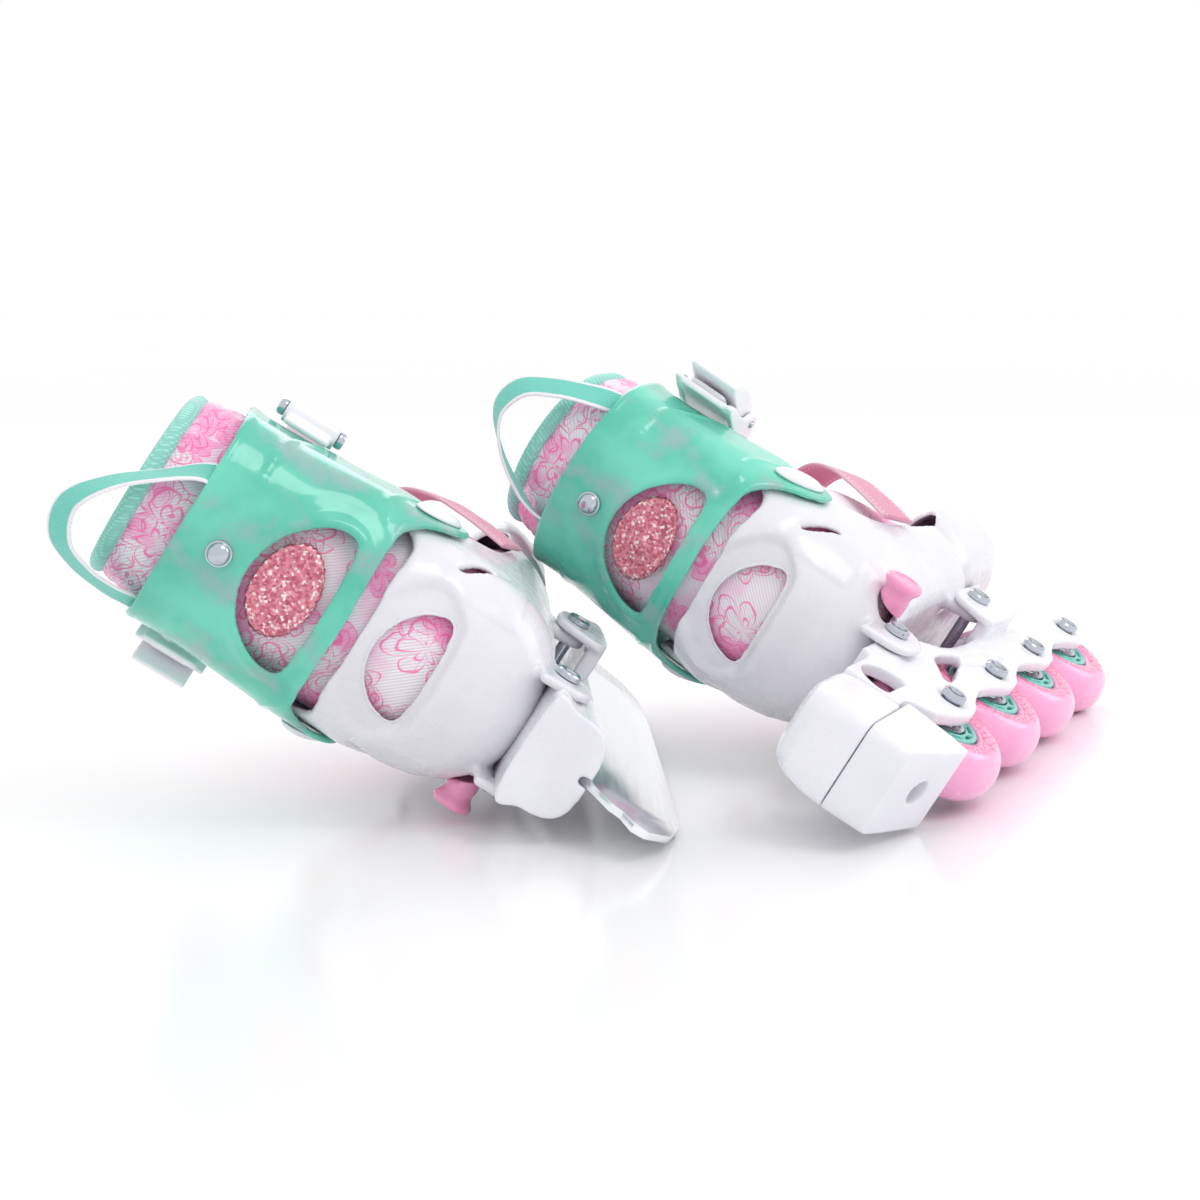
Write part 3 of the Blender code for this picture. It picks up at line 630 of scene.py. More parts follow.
def urethane():
    """Pink wheel with a deeper lace-like band by the hub, both a little see-through."""
    paint = Paint("wheel pink", (0.98, 0.40, 0.66), Coat_Weight=0.5, Coat_Roughness=0.08,
                  Subsurface_Weight=0.15, Subsurface_Scale=0.004, IOR=1.5)
    flat = paint.vector("MULTIPLY", paint.place, (1, 0, 1))
    radius = paint.vector("LENGTH", flat)
    band = paint.times(paint.step(radius, 18.5, 19.5), paint.step(radius, 24.0, 27.0, 1.0, 0.0))
    swirl = paint.vector("ADD", paint.place, paint.noise(0.25, 2.0, colour=True))
    lace = paint.step(paint.cells(0.36, "DISTANCE_TO_EDGE", vector=swirl), 0.03, 0.14, 1.0, 0.25)
    body = paint.mix(paint.noise(0.06, 2.0), (0.98, 0.38, 0.64), (0.99, 0.48, 0.72))
    paint.colour(paint.mix(paint.times(band, lace), body, (0.90, 0.10, 0.28)))
    paint.rough(paint.noise(0.3, 4.0), 0.16, 0.30)
    paint.bump(paint.noise(0.3, 2.0), 0.03)
    return paint.material


def tinted(name, base, **sockets):
    paint = Paint(name, base, Coat_Weight=0.4, Coat_Roughness=0.1, **sockets)
    body = paint.mix(paint.noise(0.12, 3.0), tuple(c * 0.9 for c in base), base)
    paint.colour(body)
    paint.rough(paint.noise(0.3, 3.0), 0.18, 0.32)
    paint.bump(paint.noise(1.2, 3.0), 0.06)
    return paint.material


# ---- Placing ---------------------------------------------------------------------------------

def standing(skate):
    """From a skate's own frame, in millimetres, to the row frame, in metres."""
    joints = {joint["name"]: joint for joint in frame["record"]["behaviour"]["joints"]}
    forward = Vector(joints[f"{skate}_toe_slide"]["axis"]).normalized()
    flex = joints[f"{skate}_cuff_flex"]
    across = Vector(flex["axis"]).normalized()
    turn = Matrix((forward, across, forward.cross(across))).transposed()
    origin = Vector(flex["pos_m"]) - turn @ (Vector((PIVOT[0], 0, PIVOT[1])) * MM)
    return Matrix.Translation(origin) @ turn.to_4x4() @ Matrix.Scale(MM, 4)


STAND = {skate: standing(skate) for skate in SKATES}


def at(skate, point):
    point = Vector(point)
    if skate == "left":
        point.y = -point.y
    return STAND[skate] @ point


def add(obj, name, skate, group, paint, nodes=(), crisp=None):
    """Lay a finished shape in its skate's place, with its body and material."""
    remember(obj)
    mesh = obj.data
    if skate == "left":
        mesh.transform(MIRROR)
        mesh.flip_normals()
    mesh.transform(STAND[skate])
    mesh.materials.clear()
    mesh.materials.append(paint)
    mesh.shade_smooth()
    if crisp:
        mesh.set_sharp_from_angle(angle=math.radians(crisp))
    obj.name = mesh.name = f"{skate}_{name}"
    if group:
        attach(obj, f"{skate}_{group}")
    if nodes:
        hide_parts(*[f"{skate}_{node}" for node in nodes])
    return obj


def add_pair(obj, name, group, paint, nodes=(), crisp=None):
    """The same shape on both skates."""
    remember(obj)
    twin = link("twin", obj.data.copy())
    return [add(obj, name, "right", group, paint, nodes, crisp),
            add(twin, name, "left", group, paint, nodes, crisp)]


# ---- Boot ------------------------------------------------------------------------------------

HEEL_WINDOW = [(-22, 118), (-19.5, 126), (-11, 133.6), (0, 136.4), (11, 133.6), (19.5, 126), (22, 118),
               (18.5, 114.6), (0, 113.4), (-18.5, 114.6)]
CUFF_WINDOW = [(-30, 165), (-27.5, 175), (-17, 186), (0, 191), (17, 186), (27.5, 175), (30, 165),
               (25, 160.6), (0, 159.6), (-25, 160.6)]
SLIT = [(-93, 127), (-86, 122.6), (-78, 115), (-71, 106.5), (-77, 111), (-86, 119)]


def bolt_hole(place, radius=2.9):
    return rod(radius, (place[0], -45, place[1]), (place[0], 45, place[1]))


def shell():
    outer = boot_loft(SHELL_LEVELS)
    inner = boot_loft(SHELL_LEVELS[1:], 3.0, low=SOLE + 3, high=172)
    rim = [(-130, 144), (-104, 144), (-90, 143.5), (-83, 150), (-76, 154), (-62, 154), (-55, 150),
           (-49, 137), (-43, 122.5), (-30, 111), (0, 103.5), (30, 99.5)]
    rim = curve(rim) + [(140, 108), (140, 175), (-130, 175)]
    body = cut(outer, [inner, plate(rim, -70, 70), box((SHELL_FRONT, -70, 60), (140, 70, 170))])
    tab = arc((-90, 66.5), (15.5, 12), 180, 360, 20) + [(-73, 78), (-107, 78)]
    lug = arc((6, 62), (9.5, 8), 180, 360, 16) + [(18, 74), (-6, 74)]
    solids = [body, box((20, -24, SOLE), (62, 24, SOLE + 3))]
    for tab_and_lug in zip(both_sides(tab, 21.6, 25.6), both_sides(lug, 22.0, 27.5)):
        solids += tab_and_lug
    button = rod(BUTTON_HOLE, (BUTTON[0], -60, BUTTON[1]), (BUTTON[0], 0, BUTTON[1]))
    holes = [plate(closed(HEEL_WINDOW), -130, -80, "X"), bolt_hole(REAR_BOLT), bolt_hole(FRONT_BOLT),
             button]
    body = cut(one_skin(solids, 1.0), holes + both_sides(closed(SLIT), 30, 60))
    body = moulded(body, 0.95, 14, 1)
    window, slit = closed(HEEL_WINDOW, 8), closed(SLIT, 6)

    def height(places, normals):
        x, y, z = places.T
        outward = ease(normals[:, 0] * -1, 0.1, 0.5) * (x < -80)
        far = away(places, window, 1, 2)
        band = 4.5 + 8.0 * ease(z, 112, 128)
        slope = np.clip(1 - far / band, 0, 1) ** 0.8
        dish = -2.4 * slope * outward
        rise, fall = ease(far, 0.75 * band, 1.05 * band), ease(far, 1.2 * band, 1.2 * band + 14)
        lip = 1.9 * (rise - fall) * outward
        side = ease(np.abs(normals[:, 1]), 0.3, 0.7) * (np.abs(y) > 30) * (normals[:, 1] * y > 0)
        gap = away(places, slit, 0, 2)
        sunk = -0.7 * close(gap, 3.2) * side
        step = 0.45 * ease(z - (98 + 0.05 * x), -0.8, 0.8) * side * (1 - ease(z, 128, 140))
        return dish + lip + sunk + step
    relief(body, height)
    add_pair(body, "moulded_shell", "skate", WHITE, ["shell"])


def toe_cap():
    def rings(inset, low=None, high=None):
        made = []
        for level in smooth_path(TOE_LEVELS, 6):
            ring = boot_ring(level, inset, side_steps=30)
            for point in ring:
                nested = 1 - min(max((point.x - SHELL_FRONT - 2) / 9, 0), 1)
                point.y *= 1 - nested * 5.3 / level[3]
                point.z -= 0.8 * inset * min(max((level[0] - 100) / 10, 0), 1)
            made.append(ring)
        if low is not None:
            bottom = [Vector((p.x, p.y, low)) for p in made[0]]
            top = [Vector((p.x, p.y, high)) for p in made[-1]]
            made = [bottom] + [ring for ring in made if low + 0.5 < ring[0].z < high - 0.5] + [top]
        return made
    throat = [(-80, 60), (6, 60), (6, 92), (22, 97.5), (34, 100.5), (44, 105.5), (50, 112), (52, 125),
              (-80, 125)]
    crown = loft(rings(0))
    body = cut(crown, [loft(rings(2.3, 76.8, 113.6)), plate(throat, -70, 70)])
    body = moulded(body, 0.9, 12, 1)

    def height(places, normals):
        x, y, z = places.T
        outer = ease(normals[:, 2] + np.abs(normals[:, 1]) * (normals[:, 1] * y > 0), 0.1, 0.5)
        band = ease(x, 38, 41) * (1 - ease(x, 60, 66)) * ease(z, 84, 92)
        ribs = -0.9 * (0.5 - 0.5 * np.cos((x - 40) * 2 * math.pi / 6.5)) * band * outer
        bumper = 0.6 * (1 - ease(z, 88.2, 89.2)) * ease(x, 44, 60) * ease(z, 77, 80)
        return ribs + bumper
    relief(body, height)
    add_pair(body, "moulded_toe", "toe", WHITE, ["toe_cap"])


def cuff():
    outer = boot_loft(CUFF_LEVELS, 0, *CUFF_ROUND)
    inner = boot_loft(CUFF_LEVELS, 2.5, *CUFF_ROUND, low=110, high=235)
    side = [(-125, 150), (-100, 150.5), (-92, 149), (-84, 141), (-77, 131), (-67, 125.6), (-58, 126),
            (-54, 132), (-56, 143), (-51, 152), (-41, 163), (-32, 172), (-27.5, 184), (-27, 200),
            (-28, 218), (-32, 222.6), (-60, 222.6), (-100, 220.5), (-125, 220)]
    body = cut(outer, [inner])
    body = cut(body, [plate(curve(side), -70, 70)], "INTERSECT")
    body = cut(body, [plate(closed(CUFF_WINDOW), -130, -75, "X")])
    body = moulded(body, 0.85, 10, 1)
    window = closed(CUFF_WINDOW, 8)
    ridges = [smooth_path([(-98, 204), (-78, 203), (-58, 192), (-44, 176), (-36, 170)], 8),
              smooth_path([(-92, 157), (-82, 160), (-68, 152), (-60, 140)], 8)]

    def height(places, normals):
        z = places[:, 2]
        outer = facing_out(places, normals)
        back = ease(-normals[:, 0], 0.25, 0.6) * outer
        flank = ease(np.abs(normals[:, 1]), 0.35, 0.75) * outer
        far = away(places, window, 1, 2)
        lip = 0.7 * close(far - 2.6, 1.5) * back
        dish = -0.45 * ease(far, 4.5, 6.5) * (1 - ease(far, 10, 13)) * back
        lines = sum(0.85 * close(away(places, ridge, 0, 2), 1.5) for ridge in ridges) * flank
        rolled = 0.5 * ease(z, 217.5, 219.5) * outer
        hem = 0.5 * (1 - ease(z - 150, 0.5, 3.0)) * back
        return lip + dish + lines + rolled + hem
    relief(body, height)
    add_pair(body, "moulded_cuff", "cuff_group", TEAL, ["cuff"])


def swollen(obj, voxel=0.0042, most=0.0022):
    """Cloth simulation of a padded shape: pressure rounds it, and no point moves past most."""
    obj.data.transform(Matrix.Scale(MM, 4))
    modified(obj, "REMESH", mode="VOXEL", voxel_size=voxel)
    obj = baked(obj, 0)
    start = arrays(obj.data)[0]
    cloth = modified(obj, "CLOTH")
    cloth.settings.use_pressure = True
    cloth.settings.uniform_pressure_force = 4.0
    cloth.settings.quality = 5
    cloth.settings.effector_weights.gravity = 0.0
    for number in range(1, CLOTH_FRAMES + 1):
        bpy.context.scene.frame_set(number)
    evaluated = obj.evaluated_get(bpy.context.evaluated_depsgraph_get())
    end = np.array([vertex.co for vertex in evaluated.data.vertices])
    bpy.context.scene.frame_set(1)
    obj.modifiers.clear()
    move = end - start
    far = np.linalg.norm(move, axis=1, keepdims=True)
    end = start + move * np.minimum(1, most / np.maximum(far, 1e-9))
    obj.data.vertices.foreach_set("co", end.ravel())
    obj.data.update()
    modified(obj, "SUBSURF", levels=1, render_levels=1)
    modified(obj, "SMOOTH", factor=0.5, iterations=2)
    obj = baked(obj, 0)
    obj.data.transform(Matrix.Scale(1 / MM, 4))
    return obj


def liner():
    """One sewn boot: padded wall, heel seam, ankle panels, a teal lining and piping."""
    outer = boot_loft(LINER_LEVELS, 0.8, *LINER_ROUND)
    hollow = [(z - 8 if 90 < z < 160 else z, *rest) for z, *rest in LINER_LEVELS if z > 90]
    inner = boot_loft(hollow, 8.0, *LINER_ROUND, low=85, high=262)
    body = swollen(cut(outer, [inner]))
    modified(body, "SUBSURF", levels=1, render_levels=1)
    body = baked(body, 0)
    panel = smooth_path([(-104, 226), (-80, 228), (-52, 222), (-40, 205), (-36, 180), (-30, 150),
                         (0, 128)], 8)

    def height(places, normals):
        x, y, z = places.T
        outer = facing_out(places, normals)
        flank = ease(np.abs(normals[:, 1]), 0.3, 0.7) * outer
        seam = -0.8 * close(away(places, panel, 0, 2), 1.1) * flank
        spine = -0.8 * close(y, 1.1) * (x < -95) * outer * ease(z, 190, 196)
        lining = -0.9 * close(z - 231, 1.2) * outer
        return seam + spine + lining
    relief(body, height)
    pair = add_pair(body, "padded_liner", None, PRINT, ["liner_foot", "liner_collar"])
    for piece, skate in zip(pair, SKATES):
        at(skate, (-60, 0, 141))
        at(skate, (-60, 0, 154))
        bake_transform(piece)

    edge = boot_ring((240, -101.6, -16.4, 38.6, 38.6), 3.6, *LINER_ROUND, 16, 6)
    binding = tube([(p.x, p.y, 240.2) for p in edge], 3.6, closed=True, sides=10)
    add_pair(binding, "collar_binding", "cuff_group", LINING)

    def sock(*levels):
        return loft([boot_ring((z, -102, -18, 39.5, 39.5), inset, *LINER_ROUND) for z, inset in levels])
    wall = cut(sock((158, 8.6), (180, 8.6), (205, 8.6), (228, 8.4), (239, 7.9)),
               [sock((154, 9.6), (180, 9.6), (205, 9.6), (228, 9.4), (244, 8.9))])
    add_pair(wall, "collar_lining", "cuff_group", LINING)


def patch():
    """Oval glitter patch on the liner, behind the cuff's window, with a raised tufted border."""
    def surface(y, z, out):
        return Vector((-103.9 - out + 37 * (1 - math.sqrt(1 - (y / 42.5) ** 2)), y, z))
    rings = []
    for share, out in ((1.0, 0.0), (1.03, 1.0), (0.97, 1.9), (0.87, 1.7), (0.84, 1.1), (0.5, 1.5),
                       (0.15, 1.6)):
        ring = []
        for angle in round_turn(96):
            tuft = 1 + (0.018 * math.sin(angle * 32) if 0.85 < share else 0)
            ring.append(surface(PATCH_HALF[0] * share * tuft * math.cos(angle),
                                PATCH_AT + PATCH_HALF[1] * share * tuft * math.sin(angle), out))
        rings.append(ring)
    add_pair(loft(rings), "glitter_patch", "cuff_group", GLITTER)


def pivot_caps():
    slant = 0.7071
    for number, side in ((1, -1), (2, 1)):
        rings = []
        for index in range(9):
            angle = math.pi / 2 * index / 8
            grow, out = math.cos(angle) * 0.98 + 0.02, 49.4 + 3.6 * math.sin(angle)
            ring = []
            for around in round_turn(48):
                along, over = 12.4 * grow * math.cos(around), 6.8 * grow * math.sin(around)
                ring.append(Vector((PIVOT[0] + (along + over) * slant, side * out,
                                    PIVOT[1] + (over - along) * slant)))
            rings.append(ring)
        add_pair(loft(rings), f"smooth_cap_{number}", "cuff_group", WHITE_TRIM,
                 [f"pivot_cap_{number}"])


def rivet():
    profile = [(0.01, 0.2), (5.0, 0.2), (5.0, 0.7), (4.4, 0.9)]
    profile += [(4.4 * math.cos(a), 0.9 + 3.1 * math.sin(a)) for a in
                (math.radians(d) for d in range(10, 90, 10))] + [(0.01, 4.0)]
    dome = moved(rolled(turned(profile, 40), 90, "Z"), (-107.4, 0, 203))
    add_pair(dome, "domed_rivet", "cuff_group", CHROME, ["rivet"], 50)


def on_buckle(obj):
    """From x along, y inwards and z up the buckle to its place on the cuff."""
    turn = Matrix.Rotation(math.radians(BUCKLE_TURN), 4, "Z")
    obj.data.transform(Matrix.Translation(BUCKLE_FOOT) @ turn)
    return obj


def buckle():
    foot = box((-21, -4.2, -13), (23, -1.4, 13), 1.2)
    cheek = closed([(-20, 1.8), (-19.5, 6.0), (-6, 7.6), (5, 10.5), (10, 15.4), (16, 16.5), (21.5, 13),
                    (23, 1.8)])
    solids = [foot]
    solids += [rolled(flank, 90, "X") for flank in both_sides(cheek, 12.3, 15.2)]
    solids.append(box((-23, -4.6, -12), (-17, -1.4, 12), 1.0))
    base = moulded(together(solids), 0.5, 4, 0.5)
    hole = rod(1.9, (LEVER_PIN[0], -LEVER_PIN[1], -20), (LEVER_PIN[0], -LEVER_PIN[1], 20))
    add_pair(on_buckle(cut(base, [hole])), "buckle_body", "cuff_group", WHITE_TRIM,
             ["buckle_base"], 60)

    side = [(16.6, 9.2), (17.8, 12.8), (15, 17.2), (8, 19), (-8, 18.6), (-20, 16), (-26, 12.6), (-25, 9.8),
            (-8, 8.9)]
    grip = rolled(plate(closed(side), -11.8, 11.8), 90, "X")
    dip = box((-12, -22, -7), (6, -17.8, 7), 1.2)
    lever = moulded(cut(grip, [dip]), 0.5, 6, 0.5)

    def ridges(places, normals):
        x = places[:, 0]
        top = ease(-normals[:, 1], 0.5, 0.9)
        return 0.4 * np.sin((x + 22) * 2 * math.pi / 2.6) * (1 - ease(x, -15, -12)) * top
    relief(lever, ridges)
    add_pair(on_buckle(lever), "buckle_grip", "lever", WHITE_TRIM, ["buckle_lever"])
    pin = rod(1.5, (LEVER_PIN[0], -LEVER_PIN[1], -16.2), (LEVER_PIN[0], -LEVER_PIN[1], 16.2))
    modified(pin, "BEVEL", width=0.5, segments=3, limit_method="ANGLE")
    add_pair(on_buckle(baked(pin)), "lever_pin", "lever", CHROME, crisp=40)


def buckle_point(along, out):
    angle = math.radians(BUCKLE_TURN)
    return BUCKLE_FOOT + Vector((math.cos(angle), math.sin(angle), 0)) * along \
        + Vector((math.sin(angle), -math.cos(angle), 0)) * out


def ladder_strap():
    entry = [buckle_point(along, 6.2) for along in (-20, -8, 4, 16, 24)]
    around = [(0, -26, 200), (22, -8, 200), (27, 12, 200), (16, 34, 200), (-6, 47, 200), (-33, 50.4, 200)]
    path = smooth_path(entry + [Vector(point) for point in around], 24)

    def teeth(run):
        saw = (run / 3.2) % 1.0
        return 0.45 * saw if run < 70 else 0.0
    strap = ribbon(path, (0, 0, 1), 18, 2.0, teeth)
    add_pair(strap, "toothed_strap", "cuff_group", WHITE_TRIM, ["ladder_strap"], 50)

    knuckle = [rod(5.2, (-41.5, 50.2, 188.5), (-41.5, 50.2, 211.5)),
               box((-41, 47.4, 189), (-24, 52.4, 211), 2.0), box((-58, 46.8, 190), (-40, 50.0, 210), 1.4)]
    hinge = moulded(together(knuckle), 0.5, 14, 0.6)
    add_pair(hinge, "strap_hinge", "cuff_group", WHITE_TRIM)
    pins = []
    for turn, z in ((90, 211.2), (-90, 188.8)):
        pin = turned([(0.01, 0), (2.6, 0), (3.6, 0.8), (3.6, 2.4), (3.0, 3.4), (0.01, 3.8)], 32)
        turn = Matrix.Rotation(math.radians(turn), 4, "X")
        pin.data.transform(Matrix.Translation((-41.5, 50.2, z)) @ turn)
        pins.append(pin)
    add_pair(together(pins), "hinge_pin_ends", "cuff_group", CHROME, ["strap_hinge_pin"], 50)


def carry_loop():
    points = [(-86.3, -36.8, 212), (-87.4, -36.8, 222), (-95.5, -35.4, 231.5), (-104, -32, 243),
              (-109.5, -25, 254.5), (-110.5, -12, 258.4), (-110, 2, 249.5), (-106.5, 13.5, 235.5),
              (-99.4, 21.6, 222.5), (-98.2, 22.8, 212)]
    path = smooth_path(points, 14)
    turns = smooth_path([(-0.74, 0.67, 0), (-0.70, 0.60, -0.35), (-0.45, 0.30, -0.85), (-0.5, 0, -0.87),
                         (-0.9, -0.1, -0.45), (-0.97, -0.3, 0), (-0.42, -0.91, 0)], 20)
    band = ribbon(path, lambda share: turns[round(share * (len(turns) - 1))], 11.5, 1.5)
    add_pair(band, "webbing_loop", "cuff_group", WEBBING, ["carry_loop"])


def instep_strap():
    outer = [(-22, -47.8, 105), (-16, -48.6, 117), (-11, -48.6, 127), (-5, -47.6, 138), (2, -42.6, 149),
             (7, -32, 155.6), (10, -16, 159.2)]
    inner = [(x, -y, z) for x, y, z in reversed(outer)]
    lean = (0.78, 0, -0.62)
    strap = ribbon(smooth_path(outer + [(10.5, 0, 160.4)] + inner, 8), lean, 21, 2.0)
    add_pair(strap, "stitched_strap", "skate", STRAP, ["instep_strap"])
    flap = smooth_path([(7.5, -34, 157.0), (10.4, -18, 161.4), (11.6, 0, 162.9), (11, 14, 161.8),
                        (9, 24, 160.0)], 8)
    add_pair(ribbon(flap, lean, 18, 1.4), "strap_flap", "skate", GLITTER)


def size_button():
    """The button; its inner end is slanted to clear the liner when it is pressed."""
    profile = [(0.01, -33.4), (6.0, -33.4), (6.0, -36.4), (6.5, -38.2), (7.9, -40.2), (8.3, -41.2),
               (8.2, -42.4), (7.4, -43.2), (5.6, -43.5), (5.0, -43.1), (3.0, -42.9), (0.01, -42.9)]
    knob = turned(curve(profile), 48)
    moved(knob, (BUTTON[0], 0, BUTTON[1]))
    for vertex in knob.data.vertices:
        if vertex.co.y > -33.8:
            vertex.co.y += 0.42 * (BUTTON[1] + 6 - vertex.co.z)
    add_pair(knob, "push_button", "button", BUTTON_PINK, ["size_button"], 60)


def tongue():
    """Padded tongue that shows above the shell's throat."""
    rows = []
    for x, z, half, thick in ((50, 103, 30, 5), (40, 112.5, 31, 5.5), (30, 124, 31, 6), (16, 138, 30, 6),
                              (-2, 152, 26, 5), (-10, 160, 22, 4)):
        ring = []
        for angle in round_turn(28):
            y = half * math.copysign(abs(math.cos(angle)) ** 0.6, math.cos(angle))
            sag = -0.0075 * y * y
            out = thick / 2 * math.sin(angle)
            ring.append(Vector((x + (out + sag) * 0.62 + 2.0, y, z + (out + sag) * 0.78 + 1.0)))
        rows.append(ring)
    smooth = [list(ring) for ring in zip(*[smooth_path(column, 3) for column in zip(*rows)])]
    pad = swollen(loft(smooth), 0.0032, 0.0012)
    for piece in add_pair(pad, "padded_tongue", "skate", PRINT):
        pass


# ---- Chassis ---------------------------------------------------------------------------------

def socket_bolt(x, z, low, high, head=5.2, shank=2.6):
    """A cross bolt: a socket head with a washer face at -Y and a rounded nut at +Y."""
    profile = [(0.01, low - 1.2), (head - 2.0, low - 1.2), (head - 1.6, low - 2.6),
               (head - 0.6, low - 2.6), (head, low - 1.9), (head, low), (shank, low), (shank, high),
               (head, high), (head, high + 1.9), (head - 0.8, high + 2.6), (head - 2.2, high + 2.6),
               (head - 2.6, high + 1.6), (0.01, high + 1.6)]
    bolt = turned(profile, 40)
    slot = rod(2.3, (0, low - 4, 0), (0, low - 0.2, 0), 6)
    return moved(cut(bolt, [slot]), (x, 0, z))


def mount_bolts():
    for end, place, reach in (("rear", REAR_BOLT, 25.9), ("front", FRONT_BOLT, 31.8)):
        add_pair(socket_bolt(*place, -reach, reach), f"{end}_cross_bolt", "skate", CHROME,
                 [f"mount_bolt_{end}"], 40)


def saddle():
    tab = closed([(-9, 47), (-9, 62), (-2, 69), (12, 69.5), (22, 66), (33, 56), (35, 47)])
    left, right = both_sides(tab, 27.8, 31.5)
    return [left, box((-9.5, -30.5, 46.8), (35, -15, 53.5)), right, box((-9.5, 15, 46.8), (35, 30.5, 53.5))]


def rail_outline():
    """A rail from the side: a boss round each axle below, towers and an arch above."""
    low = [(-136, 41.5), (-128, 30)]
    for x in AXLE_X:
        low += [(x - 17, 25.6), (x - 8, 22.6), (x, 21.6), (x + 8, 22.6), (x + 17, 25.6)]
        if x < AXLE_X[-1]:
            low.append((x + 33.5, 28.5))
    top = [(117, 30), (118, 37), (110, 46), (84, 53.5), (60, 56.5), (40, 52.5), (0, 50.5), (-34, 51.5),
           (-50, 55), (-60, 62), (-70, 66.5)]
    return low[:2] + curve(low[2:] + top, 3) + [(-146, 66.5), (-146, 41.5)]


def chassis_frame():
    solids = []
    for side in (-1, 1):
        near, far = sorted((side * RAIL_IN, side * RAIL_OUT))
        rail = plate(rail_outline(), near, far)
        moon = arc((-131, 51), (12.5, 13), 0, 180, 20) + [(-142, 48.5), (-120, 47.5)]
        keyhole = closed([(-86, 39.5), (-78, 45.5), (-68, 51.5), (-58, 51), (-47, 47.5), (-45, 44.8),
                          (-60, 42.2), (-75, 39)], 3)
        rail = cut(rail, [plate(moon, near - 1, far + 1), plate(keyhole, near - 1, far + 1)])
        for x in AXLE_X:
            rail = cut(rail, [rod(BOSS_RADIUS, (x, side * 19.0, 32), (x, side * 22, 32))])
        for centre, half, turn in (((-30, 40.5), (23, 4.2), -9), ((38, 41), (20, 4.2), -12)):
            outline, tilt = [], math.radians(turn)
            for angle in round_turn(28):
                along, over = half[0] * math.cos(angle), half[1] * math.sin(angle)
                outline.append((centre[0] + along * math.cos(tilt) - over * math.sin(tilt),
                                centre[1] + along * math.sin(tilt) + over * math.cos(tilt)))
            rail = cut(rail, [plate(outline, *sorted((side * 18.2, side * 22)))])
        solids.append(rail)
    solids += [box((-145.6, -15, 42.0), (-136, 15, 66.3)), box((-73, -15, 54), (-61, 15, 64)),
               box((-6, -15, 50), (6, 15, 57)), box((60, -15, 48), (74, 15, 56)),
               box((-117, -21.2, 58.5), (-72, 21.2, 70.5))] + saddle()
    gap = RAIL_IN - 0.2
    cutters = [box((-134, -gap, 10), (-73.4, gap, 66)), bolt_hole(REAR_BOLT), bolt_hole(FRONT_BOLT)]
    cutters += [rod(WHEEL_RADIUS + 2, (x, -gap, WHEEL_RADIUS), (x, gap, WHEEL_RADIUS), 48)
                for x in AXLE_X[1:]]
    cutters += [rod(4.0, (x, -30, WHEEL_RADIUS), (x, 30, WHEEL_RADIUS)) for x in AXLE_X]
    body = moulded(cut(one_skin(solids, 0.9), cutters), 0.85, 5, 0.5)
    add(body, "moulded_frame", "right", "skate", WHITE_FRAME, ["frame"])


def wheels():
    shoulder = [(WHEEL_RADIUS - 9 * (1 - math.cos(a)), WHEEL_HALF * math.sin(a))
                for a in (math.radians(d) for d in range(-78, 79, 6))]
    tyre = [(17.4, -9.6), (18.6, -10.9), (21, -11.5)] + shoulder + [(21, 11.5), (18.6, 10.9), (17.4, 9.6)]
    rim = [(17.0, -10.6), (17.0, 10.6), (15.4, 10.9), (14.4, 10.2), (14.2, 5), (14.2, -5), (14.4, -10.2),
           (15.4, -10.9)]
    core = [(11.4, -10.6), (11.4, -4.1), (7.2, -4.1), (7.2, 4.1), (11.4, 4.1), (11.4, 10.6), (12.4, 10.8),
            (13.0, 10.2), (13.0, -10.2), (12.4, -10.8)]
    solids = [turned(rim, 72), turned(core, 72)]
    for angle in round_turn(10):
        spoke = box((11.8, -10.3, -1.5), (15.2, 10.3, 1.5), 0.4)
        spoke.data.transform(Matrix.Rotation(angle, 4, "Y"))
        solids.append(spoke)
    hub = moulded(together(solids), 0.45, 3, 0.5)
    bearing = [(4.1, -3.5), (6.2, -3.5), (6.4, -3.1), (8.9, -3.1), (9.1, -3.5), (10.9, -3.5)]
    bearing += [(radius, -along) for radius, along in reversed(bearing)]
    shapes = {"urethane_tyre": (turned(tyre, 112), "tyre", "wheel_pink", URETHANE, 60),
              "spoked_hub": (hub, "hub", "hub_teal", HUB_TEAL, None)}
    for number, x in enumerate(AXLE_X, start=1):
        centre = Vector((x, 0, WHEEL_RADIUS))
        wheel = f"wheel_{number}"
        for name, (shape, node, slot, paint, crisp) in shapes.items():
            remember(shape)
            copy = moved(link(name, shape.data.copy()), centre)
            add(copy, f"{name}_{number}", "right", wheel, paint, [f"{node}_{number}"], crisp)
        for letter, side in (("a", -1), ("b", 1)):
            ring = moved(turned(bearing, 48), centre + Vector((0, side * 7.5, 0)))
            add(ring, f"shielded_bearing_{number}{letter}", "right", wheel, STEEL,
                [f"bearing_{number}{letter}"], 40)
        bolt = socket_bolt(x, WHEEL_RADIUS, -20.3, 20.3, 5.2, 3.6)
        add(bolt, f"axle_{number}", "right", "skate", CHROME, [f"axle_bolt_{number}"], 40)
    for shape, *_ in shapes.values():
        bpy.data.objects.remove(shape, do_unlink=True)


def brake_section(z, back, front, half, corner):
    """A level of the brake block: straight in front, with rounded corners behind."""
    ring = []
    for cx, cy, start in ((back + corner, -half + corner, 270), (front - 2, -half + 2, 0),
                          (front - 2, half - 2, 90), (back + corner, half - corner, 180)):
        radius = corner if start in (270, 180) else 2
        first = {270: 180, 0: 270, 90: 0, 180: 90}[start]
        ring += [Vector((x, y, z)) for x, y in arc((cx, cy), (radius, radius), first, first + 90, 6)]
    return ring


def brake_loft(front, *levels):
    return loft([brake_section(z, back, front, half, corner) for z, back, half, corner in levels])


